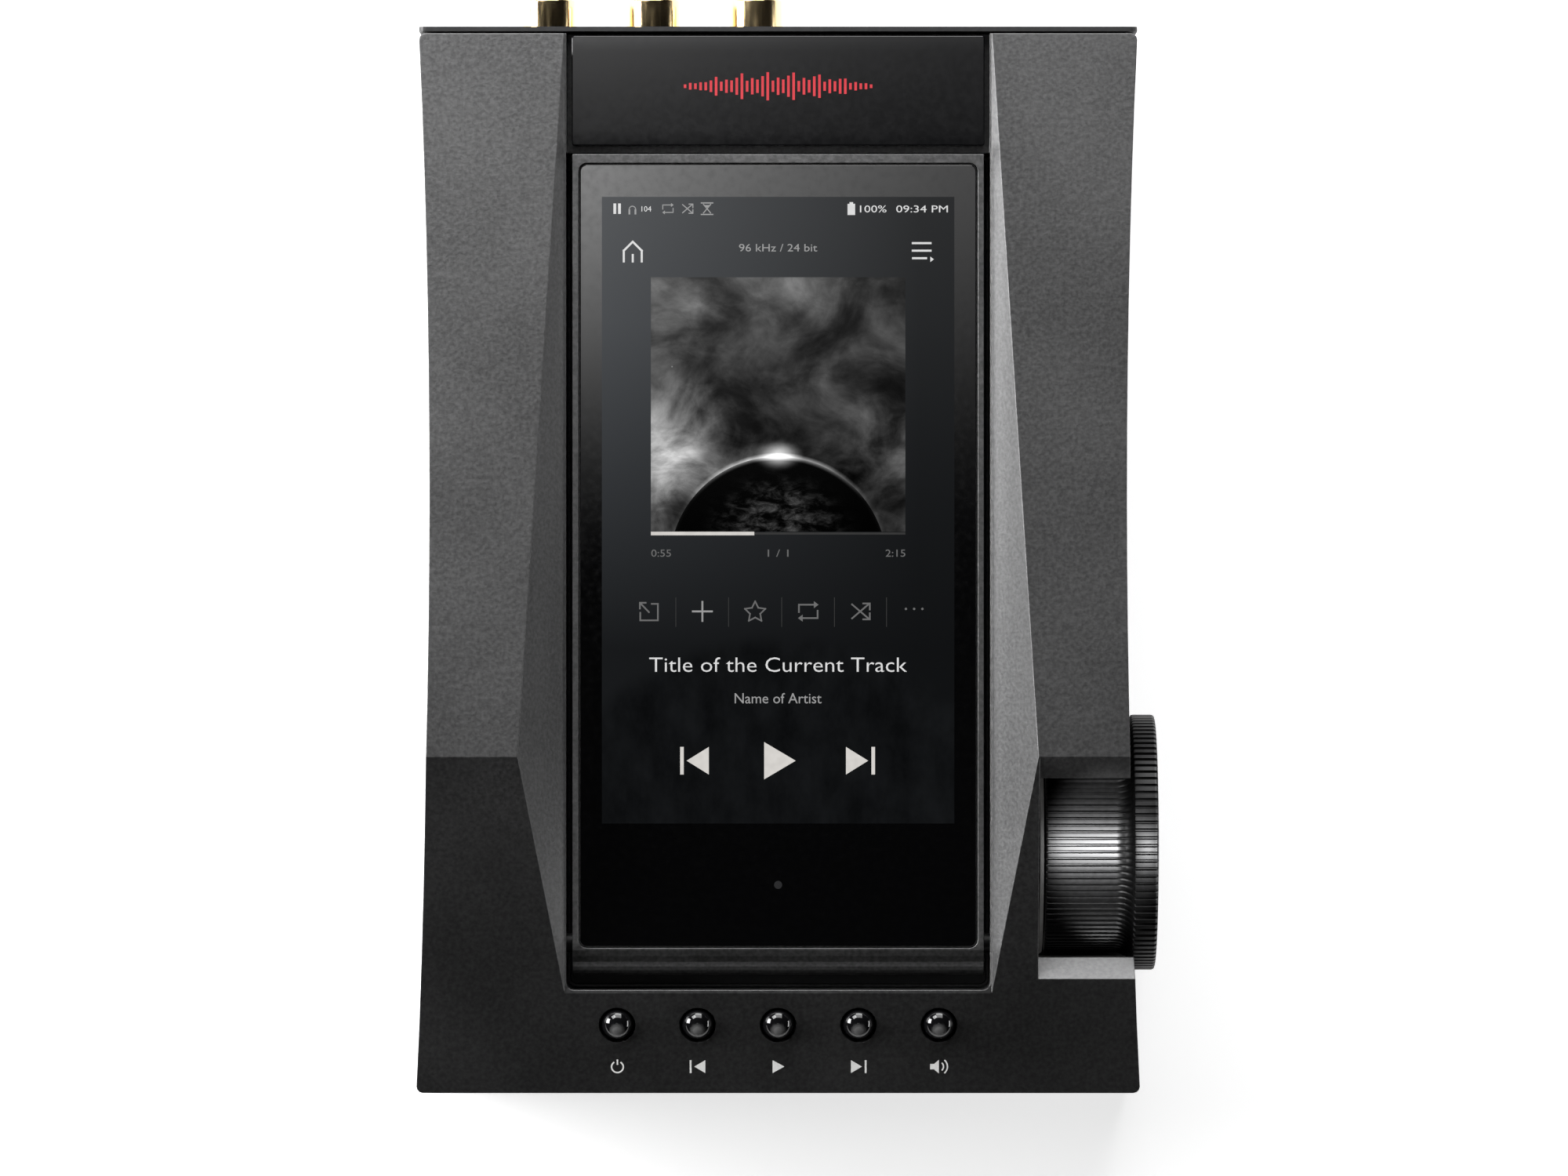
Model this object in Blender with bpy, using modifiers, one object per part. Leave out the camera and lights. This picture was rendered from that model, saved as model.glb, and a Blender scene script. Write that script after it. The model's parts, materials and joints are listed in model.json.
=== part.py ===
"""Digital audio player: a faceted aluminium housing with a display that tilts up out of a well, a volume
wheel in a side pocket and five push buttons. Metres, +Z up, the user sits at -Y."""

import math

import bmesh
import bpy
from mathutils import Matrix, Vector

MM = 0.001

# Driving dimensions in millimetres, from the centre of the housing (X, Y) and the desk (Z)
GAP = 0.3                     # clearance between neighbouring pieces
HALF_LENGTH = 74.4            # the housing is 148.8 long
WAIST_HALF_WIDTH = 48.36
WAIST_Y = 4.4
FLARE = 3.5e-4                # the sides curve outwards by this much times distance squared
CORNER_RADIUS = 0.9
SIDE_STEPS = 16

FOOT_HEIGHT = 1.6
BASE_BOTTOM = 1.2
BASE_TOP = 3.2
HOUSING_BOTTOM = BASE_TOP + GAP
RIDGE_Y = -27.2               # the highest line of the top
RIDGE_Z = 45.3
DECK_Z = 35.9                 # the flat strip that holds the display and the crest
FRONT_LIP_Y = -60.28          # where the front facet comes down to the deck
FRONT_SLOPE = (RIDGE_Z - DECK_Z) / (RIDGE_Y - FRONT_LIP_Y)
REAR_SLOPE = (RIDGE_Z - DECK_Z) / (HALF_LENGTH - RIDGE_Y)
FACET_ANGLE = math.atan(FRONT_SLOPE)
DECK_HALF_WIDTH = 29.75
RIDGE_INNER_X = 36.04         # inner end of the ridge, where four facets meet
INNER_SLOPE = (RIDGE_INNER_X - DECK_HALF_WIDTH) / (RIDGE_Z - DECK_Z)

PANEL_THICKNESS = 0.65        # rear panel
PANEL_FRONT = HALF_LENGTH - PANEL_THICKNESS
HOUSING_REAR = PANEL_FRONT - GAP
SUNK_HEAD = 2.0               # countersunk screws of the rear panel, radius of the head
SUNK_SHANK = 1.0
SUNK_RIM = 0.1
SUNK_NECK = 1.0
CAVITY_TOP = 23.4
CAVITY_HALF_WIDTH = 45.2
CAVITY_FRONT = -71.6
FACET_WALL = 2.9              # wall under the front facet
BUTTON_BAY_REAR = -60.9
BUTTON_BAY_HALF_WIDTH = 29.0
JACK_BAY_HALF_WIDTH = 44.0
JACK_BAY_FRONT = 59.4
JACK_BAY_TOP = 29.3

WELL_HALF_WIDTH = 29.55
WELL_FRONT = -59.84
WELL_REAR = 56.85
WELL_FLOOR = 25.2
WELL_CORNER = 1.1

DISPLAY_HALF_WIDTH = 28.65
DISPLAY_REAR = 56.6
BARREL_RADIUS = 4.5           # half the thickness of the display, round at its hinge end
HINGE_Y = -53.4
HINGE_Z = DECK_Z - BARREL_RADIUS
DISPLAY_BOTTOM = HINGE_Z - BARREL_RADIUS
GLASS_HALF_WIDTH = 27.55
GLASS_FRONT = -53.7
GLASS_REAR = 55.1
GLASS_THICKNESS = 1.0
GLASS_TOP = DECK_Z - 0.1
GLASS_CORNER = 0.9
PIN_RADIUS = 1.4
PIN_INNER_X = 26.6
BUSH_RADIUS = 3.0
BUSH_INNER_X = 29.9
BUSH_OUTER_X = 32.9

CREST_FRONT = 57.85
CREST_REAR = 73.1
CREST_HALF_WIDTH = 28.75
CREST_BOTTOM = 33.5
GUIDE_HALF_WIDTH = 13.7
GUIDE_FRONT = 62.3
GUIDE_REAR = 68.7
GUIDE_BOTTOM = 31.7

WHEEL_Y = -39.6
WHEEL_Z = 22.0
FLANGE_RADIUS = 17.95
DRUM_RADIUS = 15.5
WHEEL_OUTER_X = 52.9
FLANGE_INNER_X = 49.54
DRUM_INNER_X = 37.3
POCKET_X = 36.2
POCKET_FRONT = -58.26         # the pocket's mouth, where it meets the front facet
POCKET_RADIUS = 16.7
POCKET_CHAMFER = 2.95         # seen from above
POCKET_CHAMFER_SLOPE = 0.7
POCKET_WALL = 2.3
SHAFT_RADIUS = 3.0

BUTTON_RADIUS = 2.25
BUTTON_DOME = 1.25
BUTTON_PITCH = 11.22
BUTTON_Y = -64.8
BUTTON_LENGTH = 4.2
BUTTON_NAMES = ("button_power", "button_previous", "button_play", "button_next", "button_amp")

PHONE_Z = 17.5
PHONE_DEPTH = 16.2
PHONE_JACKS = (               # name, x, socket radius, barrel radius
    ("phone_jack_6_35", -31.0, 3.4, 5.6),
    ("phone_jack_4_4", -11.5, 2.3, 4.6),
    ("phone_jack_3_5", 5.0, 1.85, 3.9),
    ("phone_jack_2_5", 20.0, 1.35, 3.3),
)

RCA_Z = 21.0
RCA_TIP = 79.0
RCA_RADIUS = 3.8
RCA_JACKS = (                 # suffix, x, insulator colour
    ("coaxial", -32.2, (0.02, 0.02, 0.022)),
    ("left", -17.6, (0.75, 0.74, 0.7)),
    ("right", -3.1, (0.45, 0.02, 0.02)),
)
PORT_Z = 13.0
USB_PORTS = (("usb_c_port_charge", 22.5), ("usb_c_port_data", 33.0))
OPTICAL_X = 11.0
OPTICAL_HALF_SIZE = (4.9, 4.6)
OPTICAL_FLOOR = 68.5
CARD_X = 30.2
CARD_Z = 21.5
CARD_HALF_SIZE = (6.9, 1.2)

SCREW_X = 41.3
SCREW_FRONT_Y = -67.6
SCREW_REAR_Y = 66.6
FOOT_RADIUS = 5.0
FOOT_X = 38.0
FOOT_FRONT_Y = -55.0
FOOT_REAR_Y = 55.0

# The model's origin is under the middle of its bounding box
CENTRE_X = (WHEEL_OUTER_X - (WAIST_HALF_WIDTH + FLARE * (HALF_LENGTH + WAIST_Y) ** 2)) / 2
CENTRE_Y = (RCA_TIP - HALF_LENGTH) / 2


# Scene and materials

def clear_scene():
    for obj in list(bpy.data.objects):
        bpy.data.objects.remove(obj)


def new_collection(name):
    made = bpy.data.collections.new(name)
    bpy.context.scene.collection.children.link(made)
    return made


def new_material(name, colour, roughness, metallic=0.0):
    made = bpy.data.materials.new(name)
    made.use_nodes = True
    shader = made.node_tree.nodes["Principled BSDF"]
    shader.inputs["Base Color"].default_value = (*colour, 1.0)
    shader.inputs["Roughness"].default_value = roughness
    shader.inputs["Metallic"].default_value = metallic
    return made


def new_datum():
    """The housing's centre on the desk; everything hangs on it."""
    datum = bpy.data.objects.new("datum", None)
    datum.location = (-CENTRE_X * MM, -CENTRE_Y * MM, 0)
    bpy.context.scene.collection.objects.link(datum)
    return datum


clear_scene()
PARTS = new_collection("digital_audio_player")
CUTTERS = new_collection("cutters")
DATUM = new_datum()


# Shapes. Outlines and places are in millimetres, and meshes are in metres.

def link(obj, collection):
    collection.objects.link(obj)
    obj.parent = DATUM
    return obj


def as_part(obj, name, look):
    """Names a shape, gives it its material and shades its round stretches smooth."""
    obj.name = name
    obj.data.name = name
    obj.data.materials.clear()
    obj.data.materials.append(look)
    if obj.data.polygons:
        obj.data.shade_smooth()
        obj.data.set_sharp_from_angle(angle=math.radians(35))
    return link(obj, PARTS)


def as_cutter(obj):
    obj.name = "cutter_" + obj.name
    obj.hide_render = True
    obj.display_type = "WIRE"
    return link(obj, CUTTERS)


def mesh_object(mesh_builder, name):
    mesh = bpy.data.meshes.new(name)
    mesh_builder.to_mesh(mesh)
    mesh_builder.free()
    return bpy.data.objects.new(name, mesh)


def box(low, high, name="box"):
    shape = bmesh.new()
    size = [h - l for l, h in zip(low, high)]
    middle = [(l + h) / 2 for l, h in zip(low, high)]
    place = Matrix.Translation(Vector(middle) * MM) @ Matrix.Diagonal((*(s * MM for s in size), 1))
    bmesh.ops.create_cube(shape, size=1.0, matrix=place)
    return mesh_object(shape, name)


def rod(radius, start, end, segments=24, name="rod"):
    """A cylinder between two points."""
    start = Vector(start) * MM
    end = Vector(end) * MM
    along = end - start
    turn = Vector((0, 0, 1)).rotation_difference(along).to_matrix().to_4x4()
    shape = bmesh.new()
    bmesh.ops.create_cone(
        shape,
        cap_ends=True,
        segments=segments,
        radius1=radius * MM,
        radius2=radius * MM,
        depth=along.length,
        matrix=Matrix.Translation((start + end) / 2) @ turn,
    )
    return mesh_object(shape, name)


def prism(outline, low, high, axis="Z", name="prism"):
    """Extrudes an outline along Z from (x, y) points, along X from (y, z) or along Y from (x, z)."""
    curve = bpy.data.curves.new(name, "CURVE")
    curve.dimensions = "2D"
    curve.fill_mode = "BOTH"
    curve.extrude = (high - low) / 2 * MM
    spline = curve.splines.new("POLY")
    spline.points.add(len(outline) - 1)
    for point, (u, v) in zip(spline.points, outline):
        point.co = (u * MM, v * MM, 0, 1)
    spline.use_cyclic_u = True
    drawn = bpy.data.objects.new(name, curve)
    CUTTERS.objects.link(drawn)
    graph = bpy.context.evaluated_depsgraph_get()
    mesh = bpy.data.meshes.new_from_object(drawn.evaluated_get(graph))
    bpy.data.objects.remove(drawn)
    middle = (low + high) / 2 * MM
    turns = {
        "Z": Matrix.Identity(4),
        "X": Matrix(((0, 0, 1, 0), (1, 0, 0, 0), (0, 1, 0, 0), (0, 0, 0, 1))),
        "Y": Matrix(((1, 0, 0, 0), (0, 0, -1, 0), (0, 1, 0, 0), (0, 0, 0, 1))),
    }
    shift = {"Z": (0, 0, middle), "X": (middle, 0, 0), "Y": (0, middle, 0)}
    solid = bmesh.new()
    solid.from_mesh(mesh)
    bmesh.ops.remove_doubles(solid, verts=solid.verts, dist=1e-6)
    bmesh.ops.transform(solid, matrix=Matrix.Translation(shift[axis]) @ turns[axis], verts=solid.verts)
    bmesh.ops.recalc_face_normals(solid, faces=solid.faces)
    return mesh_object(solid, name)


def turned(profile, axis="Z", place=(0, 0, 0), steps=32, closed=False, name="turned"):
    """Turns (radius, height) points, listed down the outer side, about a line along one axis."""
    points = [(radius * MM, 0, height * MM) for radius, height in profile]
    edges = [(i, i + 1) for i in range(len(points) - 1)]
    if closed:
        edges.append((len(points) - 1, 0))
    mesh = bpy.data.meshes.new(name)
    mesh.from_pydata(points, edges, [])
    obj = bpy.data.objects.new(name, mesh)
    screw = obj.modifiers.new("turn", "SCREW")
    screw.steps = steps
    screw.render_steps = steps
    screw.use_merge_vertices = True
    screw.merge_threshold = 1e-6
    screw.use_smooth_shade = True
    obj.location = Vector(place) * MM
    obj.rotation_euler = {"Z": (0, 0, 0), "X": (0, math.pi / 2, 0), "Y": (-math.pi / 2, 0, 0)}[axis]
    return obj


def arc(centre, radius, start, end, steps):
    """Points on an arc, with angles in degrees."""
    angles = [math.radians(start + (end - start) * i / steps) for i in range(steps + 1)]
    return [(centre[0] + radius * math.cos(a), centre[1] + radius * math.sin(a)) for a in angles]


def rounded(left, right, front, rear, radius, steps=4):
    """Outline of a rectangle with round corners, anticlockwise."""
    points = arc((right - radius, front + radius), radius, -90, 0, steps)
    points += arc((right - radius, rear - radius), radius, 0, 90, steps)
    points += arc((left + radius, rear - radius), radius, 90, 180, steps)
    points += arc((left + radius, front + radius), radius, 180, 270, steps)
    return points


def boolean(obj, other, operation):
    step = obj.modifiers.new(operation.lower(), "BOOLEAN")
    step.operation = operation
    step.object = as_cutter(other)
    step.solver = "EXACT"


def cut(obj, other):
    boolean(obj, other, "DIFFERENCE")


def add(obj, other):
    boolean(obj, other, "UNION")


def set_origin(obj, pivot):
    """Moves an unrotated object's origin to a point on its joint's axis."""
    offset = Vector(pivot) * MM
    obj.data.transform(Matrix.Translation(obj.location - offset))
    obj.location = offset


# The housing's form

def half_width(y):
    return WAIST_HALF_WIDTH + FLARE * (y - WAIST_Y) ** 2


def roof_z(y):
    if y < RIDGE_Y:
        return RIDGE_Z - FRONT_SLOPE * (RIDGE_Y - y)
    return RIDGE_Z - REAR_SLOPE * (y - RIDGE_Y)


def plan_outline(front, rear):
    """Seen from above: two concave sides between a wide front and a slightly narrower rear."""
    radius = CORNER_RADIUS
    ys = [front + radius + (rear - front - 2 * radius) * i / SIDE_STEPS for i in range(1, SIDE_STEPS)]
    right = arc((half_width(front) - radius, front + radius), radius, -90, 0, 3)
    right += [(half_width(y), y) for y in ys]
    right += arc((half_width(rear) - radius, rear - radius), radius, 0, 90, 3)
    return right + [(-x, y) for x, y in reversed(right)]


def roof_cutter():
    far = 90
    outline = [(-far, roof_z(-far)), (RIDGE_Y, RIDGE_Z), (far, roof_z(far)), (far, far), (-far, far)]
    return prism(outline, -far, far, axis="X", name="roof")


def channel_cutter():
    """The V-shaped valley between the two wings, down to the deck."""
    top = 60
    top_x = DECK_HALF_WIDTH + INNER_SLOPE * (top - DECK_Z)
    outline = [(-DECK_HALF_WIDTH, DECK_Z), (DECK_HALF_WIDTH, DECK_Z), (top_x, top), (-top_x, top)]
    return prism(outline, -90, 90, axis="Y", name="channel")


def well_cutter():
    corner = WELL_CORNER
    outline = arc((WELL_HALF_WIDTH - corner, WELL_FRONT + corner), corner, -90, 0, 4)
    outline += [(WELL_HALF_WIDTH, WELL_REAR), (-WELL_HALF_WIDTH, WELL_REAR)]
    outline += arc((corner - WELL_HALF_WIDTH, WELL_FRONT + corner), corner, 180, 270, 4)
    return prism(outline, WELL_FLOOR, 60, name="well")


def pocket_cutter():
    """The wheel's pocket, seen from the side: its mouth is chamfered in front and behind."""
    front_z = roof_z(POCKET_FRONT)
    drop = POCKET_CHAMFER * POCKET_CHAMFER_SLOPE
    far = 12
    rise = far * POCKET_CHAMFER_SLOPE
    outline = [
        (POCKET_FRONT - far, front_z + rise),
        (POCKET_FRONT + POCKET_CHAMFER, front_z - drop),
        (POCKET_FRONT + POCKET_CHAMFER, WHEEL_Z + 4),
        (RIDGE_Y - POCKET_CHAMFER, WHEEL_Z + 4),
        (RIDGE_Y - POCKET_CHAMFER, RIDGE_Z - drop),
        (RIDGE_Y + far, RIDGE_Z + rise),
    ]
    return prism(outline, POCKET_X, 70, axis="X", name="pocket")


def cavity_cutter():
    """Seen from above, the hollow passes round the wheel's pocket."""
    pocket_front = WHEEL_Y - POCKET_RADIUS - POCKET_WALL
    pocket_rear = WHEEL_Y + POCKET_RADIUS + POCKET_WALL
    wall = POCKET_X - POCKET_WALL
    side = CAVITY_HALF_WIDTH
    outline = [
        (-side, CAVITY_FRONT), (side, CAVITY_FRONT), (side, pocket_front), (wall, pocket_front),
        (wall, pocket_rear), (side, pocket_rear), (side, 80), (-side, 80),
    ]
    return prism(outline, -5, CAVITY_TOP, name="cavity")


def button_bay_cutter():
    outline = [
        (CAVITY_FRONT, CAVITY_TOP - 5), (BUTTON_BAY_REAR, CAVITY_TOP - 5),
        (BUTTON_BAY_REAR, roof_z(BUTTON_BAY_REAR) - FACET_WALL),
        (CAVITY_FRONT, roof_z(CAVITY_FRONT) - FACET_WALL),
    ]
    return prism(outline, -BUTTON_BAY_HALF_WIDTH, BUTTON_BAY_HALF_WIDTH, axis="X", name="button_bay")


def crest_seat_cutter():
    """The step that carries the crest. It opens into the well at its front."""
    side = WELL_HALF_WIDTH - 0.05
    return prism(rounded(-side, side, WELL_REAR - 2, 90, 1.0), CREST_BOTTOM - GAP, 60, name="crest_seat")


def guide_cutter():
    """The slot under the crest for its light guide."""
    low = (-GUIDE_HALF_WIDTH - GAP, GUIDE_FRONT - GAP, GUIDE_BOTTOM - GAP)
    return box(low, (GUIDE_HALF_WIDTH + GAP, GUIDE_REAR + GAP, CREST_BOTTOM), name="guide")


def facet_point(y, depth=0.0):
    """A point under the front facet, this deep along the facet's normal."""
    return y + depth * math.sin(FACET_ANGLE), roof_z(y) - depth * math.cos(FACET_ANGLE)


def screw_places():
    return [(x, y) for y in (SCREW_FRONT_Y, SCREW_REAR_Y) for x in (-SCREW_X, SCREW_X)]


def button_x(index):
    return (index - 2) * BUTTON_PITCH


def upper_housing(look):
    body = prism(plan_outline(-HALF_LENGTH, HOUSING_REAR), HOUSING_BOTTOM, 50)
    housing = as_part(body, "upper_housing", look)
    cut(housing, roof_cutter())
    cut(housing, channel_cutter())
    cut(housing, cavity_cutter())
    cut(housing, button_bay_cutter())
    cut(housing, box((-JACK_BAY_HALF_WIDTH, JACK_BAY_FRONT, -5), (JACK_BAY_HALF_WIDTH, 80, JACK_BAY_TOP)))
    cut(housing, well_cutter())
    cut(housing, crest_seat_cutter())
    cut(housing, guide_cutter())
    cut(housing, pocket_cutter())
    axis_start = (POCKET_X, WHEEL_Y, WHEEL_Z)
    cut(housing, rod(POCKET_RADIUS, axis_start, (70, WHEEL_Y, WHEEL_Z), 64))
    cut(housing, rod(FLANGE_RADIUS + 0.6, (48.6, WHEEL_Y, WHEEL_Z), (70, WHEEL_Y, WHEEL_Z), 64))
    for index in range(len(BUTTON_NAMES)):
        outer = facet_point(BUTTON_Y, -3)
        inner = facet_point(BUTTON_Y, FACET_WALL + 3)
        x = button_x(index)
        cut(housing, rod(BUTTON_RADIUS + GAP, (x, *outer), (x, *inner), 24))
    for _, x, _, barrel in PHONE_JACKS:
        cut(housing, rod(barrel + GAP, (x, -80, PHONE_Z), (x, CAVITY_FRONT + 2, PHONE_Z), 28))
    for side in (-1, 1):
        inner = (side * (WELL_HALF_WIDTH - 1), HINGE_Y, HINGE_Z)
        outer = (side * (BUSH_OUTER_X + GAP), HINGE_Y, HINGE_Z)
        cut(housing, rod(BUSH_RADIUS + GAP, inner, outer, 20))
    for x, y in screw_places():
        ceiling = CAVITY_TOP if y < 0 else JACK_BAY_TOP
        add(housing, rod(3.2, (x, y, HOUSING_BOTTOM), (x, y, ceiling + 1.5), 16))
        cut(housing, rod(1.6, (x, y, 0), (x, y, 13), 12))
    for x, z in rear_screw_places():
        cut(housing, rod(SUNK_SHANK + GAP, (x, HOUSING_REAR - 5, z), (x, 80, z), 12))
    return housing


def base_plate(look):
    plate = as_part(prism(plan_outline(-HALF_LENGTH, HALF_LENGTH), BASE_BOTTOM, BASE_TOP), "base_plate", look)
    for x, y in screw_places():
        cut(plate, rod(1.6, (x, y, 0), (x, y, 5), 12))
        cut(plate, rod(3.0, (x, y, 0), (x, y, 2.3), 16))
    for x, y in foot_places():
        cut(plate, rod(FOOT_RADIUS + GAP, (x, y, 0), (x, y, FOOT_HEIGHT + GAP), 24))
    return plate


def foot_places():
    return [(x, y) for y in (FOOT_FRONT_Y, FOOT_REAR_Y) for x in (-FOOT_X, FOOT_X)]


def feet(look):
    rim = FOOT_RADIUS
    profile = [(0, FOOT_HEIGHT), (rim, FOOT_HEIGHT), (rim, 0.35), (rim - 0.35, 0), (0, 0)]
    for number, (x, y) in enumerate(foot_places(), 1):
        as_part(turned(profile, place=(x, y, 0), steps=24), f"foot_{number}", look)


def machine_screw(name, look, place, axis, head, shank, length, up, rim=0.6, neck=0.9):
    """A flat-headed screw with a hexagon socket. up is +1 where the head faces along the axis."""
    profile = [(0, 0), (head, 0), (head, -rim), (shank, -neck), (shank, -length), (0, -length)]
    if up < 0:
        profile = [(radius, -height) for radius, height in reversed(profile)]
    screw = as_part(turned(profile, axis=axis, place=place, steps=14), name, look)
    along = {"Z": Vector((0, 0, up)), "Y": Vector((0, up, 0))}[axis]
    start = Vector(place) + along
    cut(screw, rod(head * 0.45, start, Vector(place) - along * 0.5, 6))
    return screw


def base_screws(look):
    for number, (x, y) in enumerate(screw_places(), 1):
        machine_screw(f"base_screw_{number}", look, (x, y, 1.35), "Z", 2.7, 1.25, 10.5, -1)


# Rear panel and what it carries

def across(x, z, half_size, front, rear, grow=0.0):
    """A block that runs from front to rear about a centre line."""
    wide, high = (half + grow for half in half_size)
    return box((x - wide, front, z - high), (x + wide, rear, z + high))


def rear_screw_places():
    return [(x, z) for z in (8.0, 31.0) for x in (-47.4, 47.4)]


def rear_panel(look):
    side = half_width(HALF_LENGTH)
    outline = rounded(-side, side, HOUSING_BOTTOM, DECK_Z - 0.1, 1.0)
    panel = as_part(prism(outline, PANEL_FRONT, HALF_LENGTH, axis="Y"), "rear_panel", look)
    add(panel, box((-40, 72.2, 6.0), (40, PANEL_FRONT + 0.3, JACK_BAY_TOP - GAP)))
    for _, x, _ in RCA_JACKS:
        cut(panel, rod(RCA_RADIUS + GAP, (x, 60, RCA_Z), (x, 90, RCA_Z), 32))
    for _, x in USB_PORTS:
        cut(panel, prism(usb_outline(x, GAP), 60, 90, axis="Y"))
    cut(panel, across(OPTICAL_X, PORT_Z, OPTICAL_HALF_SIZE, 60, 90, GAP))
    cut(panel, across(CARD_X, CARD_Z, CARD_HALF_SIZE, 60, 90, GAP))
    wide = SUNK_HEAD + GAP
    narrow = SUNK_SHANK + GAP
    sink = [(0, 1), (wide, 1), (wide, -SUNK_RIM), (narrow, -SUNK_NECK), (narrow, -3), (0, -3)]
    for x, z in rear_screw_places():
        cut(panel, turned(sink, "Y", (x, HALF_LENGTH, z), 14))
    return panel


def rear_screws(look):
    for number, (x, z) in enumerate(rear_screw_places(), 1):
        machine_screw(f"rear_screw_{number}", look, (x, HALF_LENGTH, z), "Y", SUNK_HEAD, SUNK_SHANK, 4.2, 1,
                      SUNK_RIM, SUNK_NECK)


def cup(radius, bore, tip, floor, end, chamfer=0.3):
    """Profile of a round barrel with a blind bore from its tip."""
    return [(0, floor), (bore, floor), (bore, tip), (radius - chamfer, tip), (radius, tip - chamfer),
            (radius, end), (0, end)]


def rca_jacks(gold):
    for suffix, x, colour in RCA_JACKS:
        shell = cup(RCA_RADIUS, 3.1, RCA_TIP, 69.5, 65.0)
        as_part(turned(shell, "Y", (x, 0, RCA_Z), 32), f"rca_shell_{suffix}", gold)
        plug = cup(3.1 - GAP, 1.6, RCA_TIP - 1.7, 71.0, 69.5 + GAP, 0.15)
        look = new_material(f"insulator_{suffix}", colour, 0.4)
        as_part(turned(plug, "Y", (x, 0, RCA_Z), 16), f"rca_insulator_{suffix}", look)


def usb_outline(x, grow):
    return rounded(x - 4.5 - grow, x + 4.5 + grow, PORT_Z - 1.65 - grow, PORT_Z + 1.65 + grow, 1.5 + grow)


def usb_ports(steel):
    for name, x in USB_PORTS:
        port = as_part(prism(usb_outline(x, 0), 66.5, HALF_LENGTH, axis="Y"), name, steel)
        cut(port, prism(usb_outline(x, -0.35), 68.0, 90, axis="Y"))
        add(port, box((x - 3.2, 67.5, PORT_Z - 0.35), (x + 3.2, HALF_LENGTH - 0.6, PORT_Z + 0.35)))


def optical_port(plastic):
    body = across(OPTICAL_X, PORT_Z, OPTICAL_HALF_SIZE, 64.0, HALF_LENGTH)
    port = as_part(body, "optical_port", plastic)
    half = 3.0
    opening = [(OPTICAL_X - half, PORT_Z - half), (OPTICAL_X + half, PORT_Z - half),
               (OPTICAL_X + half, PORT_Z + 1.6), (OPTICAL_X + 1.6, PORT_Z + half),
               (OPTICAL_X - 1.6, PORT_Z + half), (OPTICAL_X - half, PORT_Z + 1.6)]
    cut(port, prism(opening, OPTICAL_FLOOR, 90, axis="Y"))
    return port


def card_slot(steel):
    slot = as_part(across(CARD_X, CARD_Z, CARD_HALF_SIZE, 59.8, HALF_LENGTH), "card_slot", steel)
    cut(slot, across(CARD_X, CARD_Z, (5.7, 0.55), 61.0, 80))
    return slot


def crest(glass, clear):
    outline = rounded(-CREST_HALF_WIDTH, CREST_HALF_WIDTH, CREST_FRONT, CREST_REAR, 0.4)
    as_part(prism(outline, CREST_BOTTOM, DECK_Z - 0.1), "crest_panel", glass)
    side = GUIDE_HALF_WIDTH
    guide = box((-side, GUIDE_FRONT, GUIDE_BOTTOM), (side, GUIDE_REAR, CREST_BOTTOM - GAP))
    as_part(guide, "crest_light_guide", clear)


# Pieces inside the housing

def internals(board, black, steel, wrap):
    side = WELL_HALF_WIDTH - 0.35
    tray = prism(rounded(-side, side, WELL_FRONT + 0.4, DISPLAY_REAR, 1.0), WELL_FLOOR + GAP, 26.4)
    as_part(tray, "well_tray", black)
    as_part(prism(rounded(-38, 38, -14, 57, 3), 4.2, 15.6), "battery_pack", wrap)
    as_part(prism(rounded(-43, 43, -16, 58, 2), 17.2, 18.8), "main_board", board)
    as_part(prism(rounded(-24, 24, -6, 40, 1), 18.8 + GAP, 22.6), "shield_can", steel)
    as_part(prism(rounded(-43, 31, -57, -19, 2), 8.0, 9.6), "amp_board", board)
    as_part(prism(rounded(-38, 26, -53, -22, 1), 9.6 + GAP, 19.0), "amp_shield", steel)
    plate = box((-27.5, -3.6, 0), (27.5, 3.6, 1.2))
    middle = facet_point(BUTTON_Y - 2.0, 6.2)
    plate.location = Vector((0, *middle)) * MM
    plate.rotation_euler = (FACET_ANGLE, 0, 0)
    as_part(plate, "button_board", board)


def phone_jacks(metal):
    for name, x, socket, barrel in PHONE_JACKS:
        profile = cup(barrel, socket, 0, -PHONE_DEPTH + 1.6, -PHONE_DEPTH)
        profile = [(radius, -height - PHONE_DEPTH) for radius, height in reversed(profile)]
        as_part(turned(profile, "Y", (x, PHONE_DEPTH - HALF_LENGTH + 0.2, PHONE_Z), 20), name, metal)


# Volume wheel

def wheel_profile():
    """Radius and X down the outer side: face, flange, fillet, drum, then the hollow and its hub."""
    face = WHEEL_OUTER_X - 0.3
    rim = FLANGE_RADIUS
    fillet = rim - DRUM_RADIUS
    outside = [(0, face), (14.7, face), (15.0, WHEEL_OUTER_X), (rim - 0.3, WHEEL_OUTER_X), (rim, face)]
    outside += arc((rim, FLANGE_INNER_X - fillet), fillet, 90, 180, 4)
    outside += [(DRUM_RADIUS, DRUM_INNER_X + 0.3), (DRUM_RADIUS - 0.3, DRUM_INNER_X)]
    hollow = [(13.0, DRUM_INNER_X), (13.0, 49.2), (5.2, 49.2), (5.2, 44.2)]
    bore = [(SHAFT_RADIUS + GAP, 44.2), (SHAFT_RADIUS + GAP, 48.0), (0, 48.0)]
    return outside + hollow + bore


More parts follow.
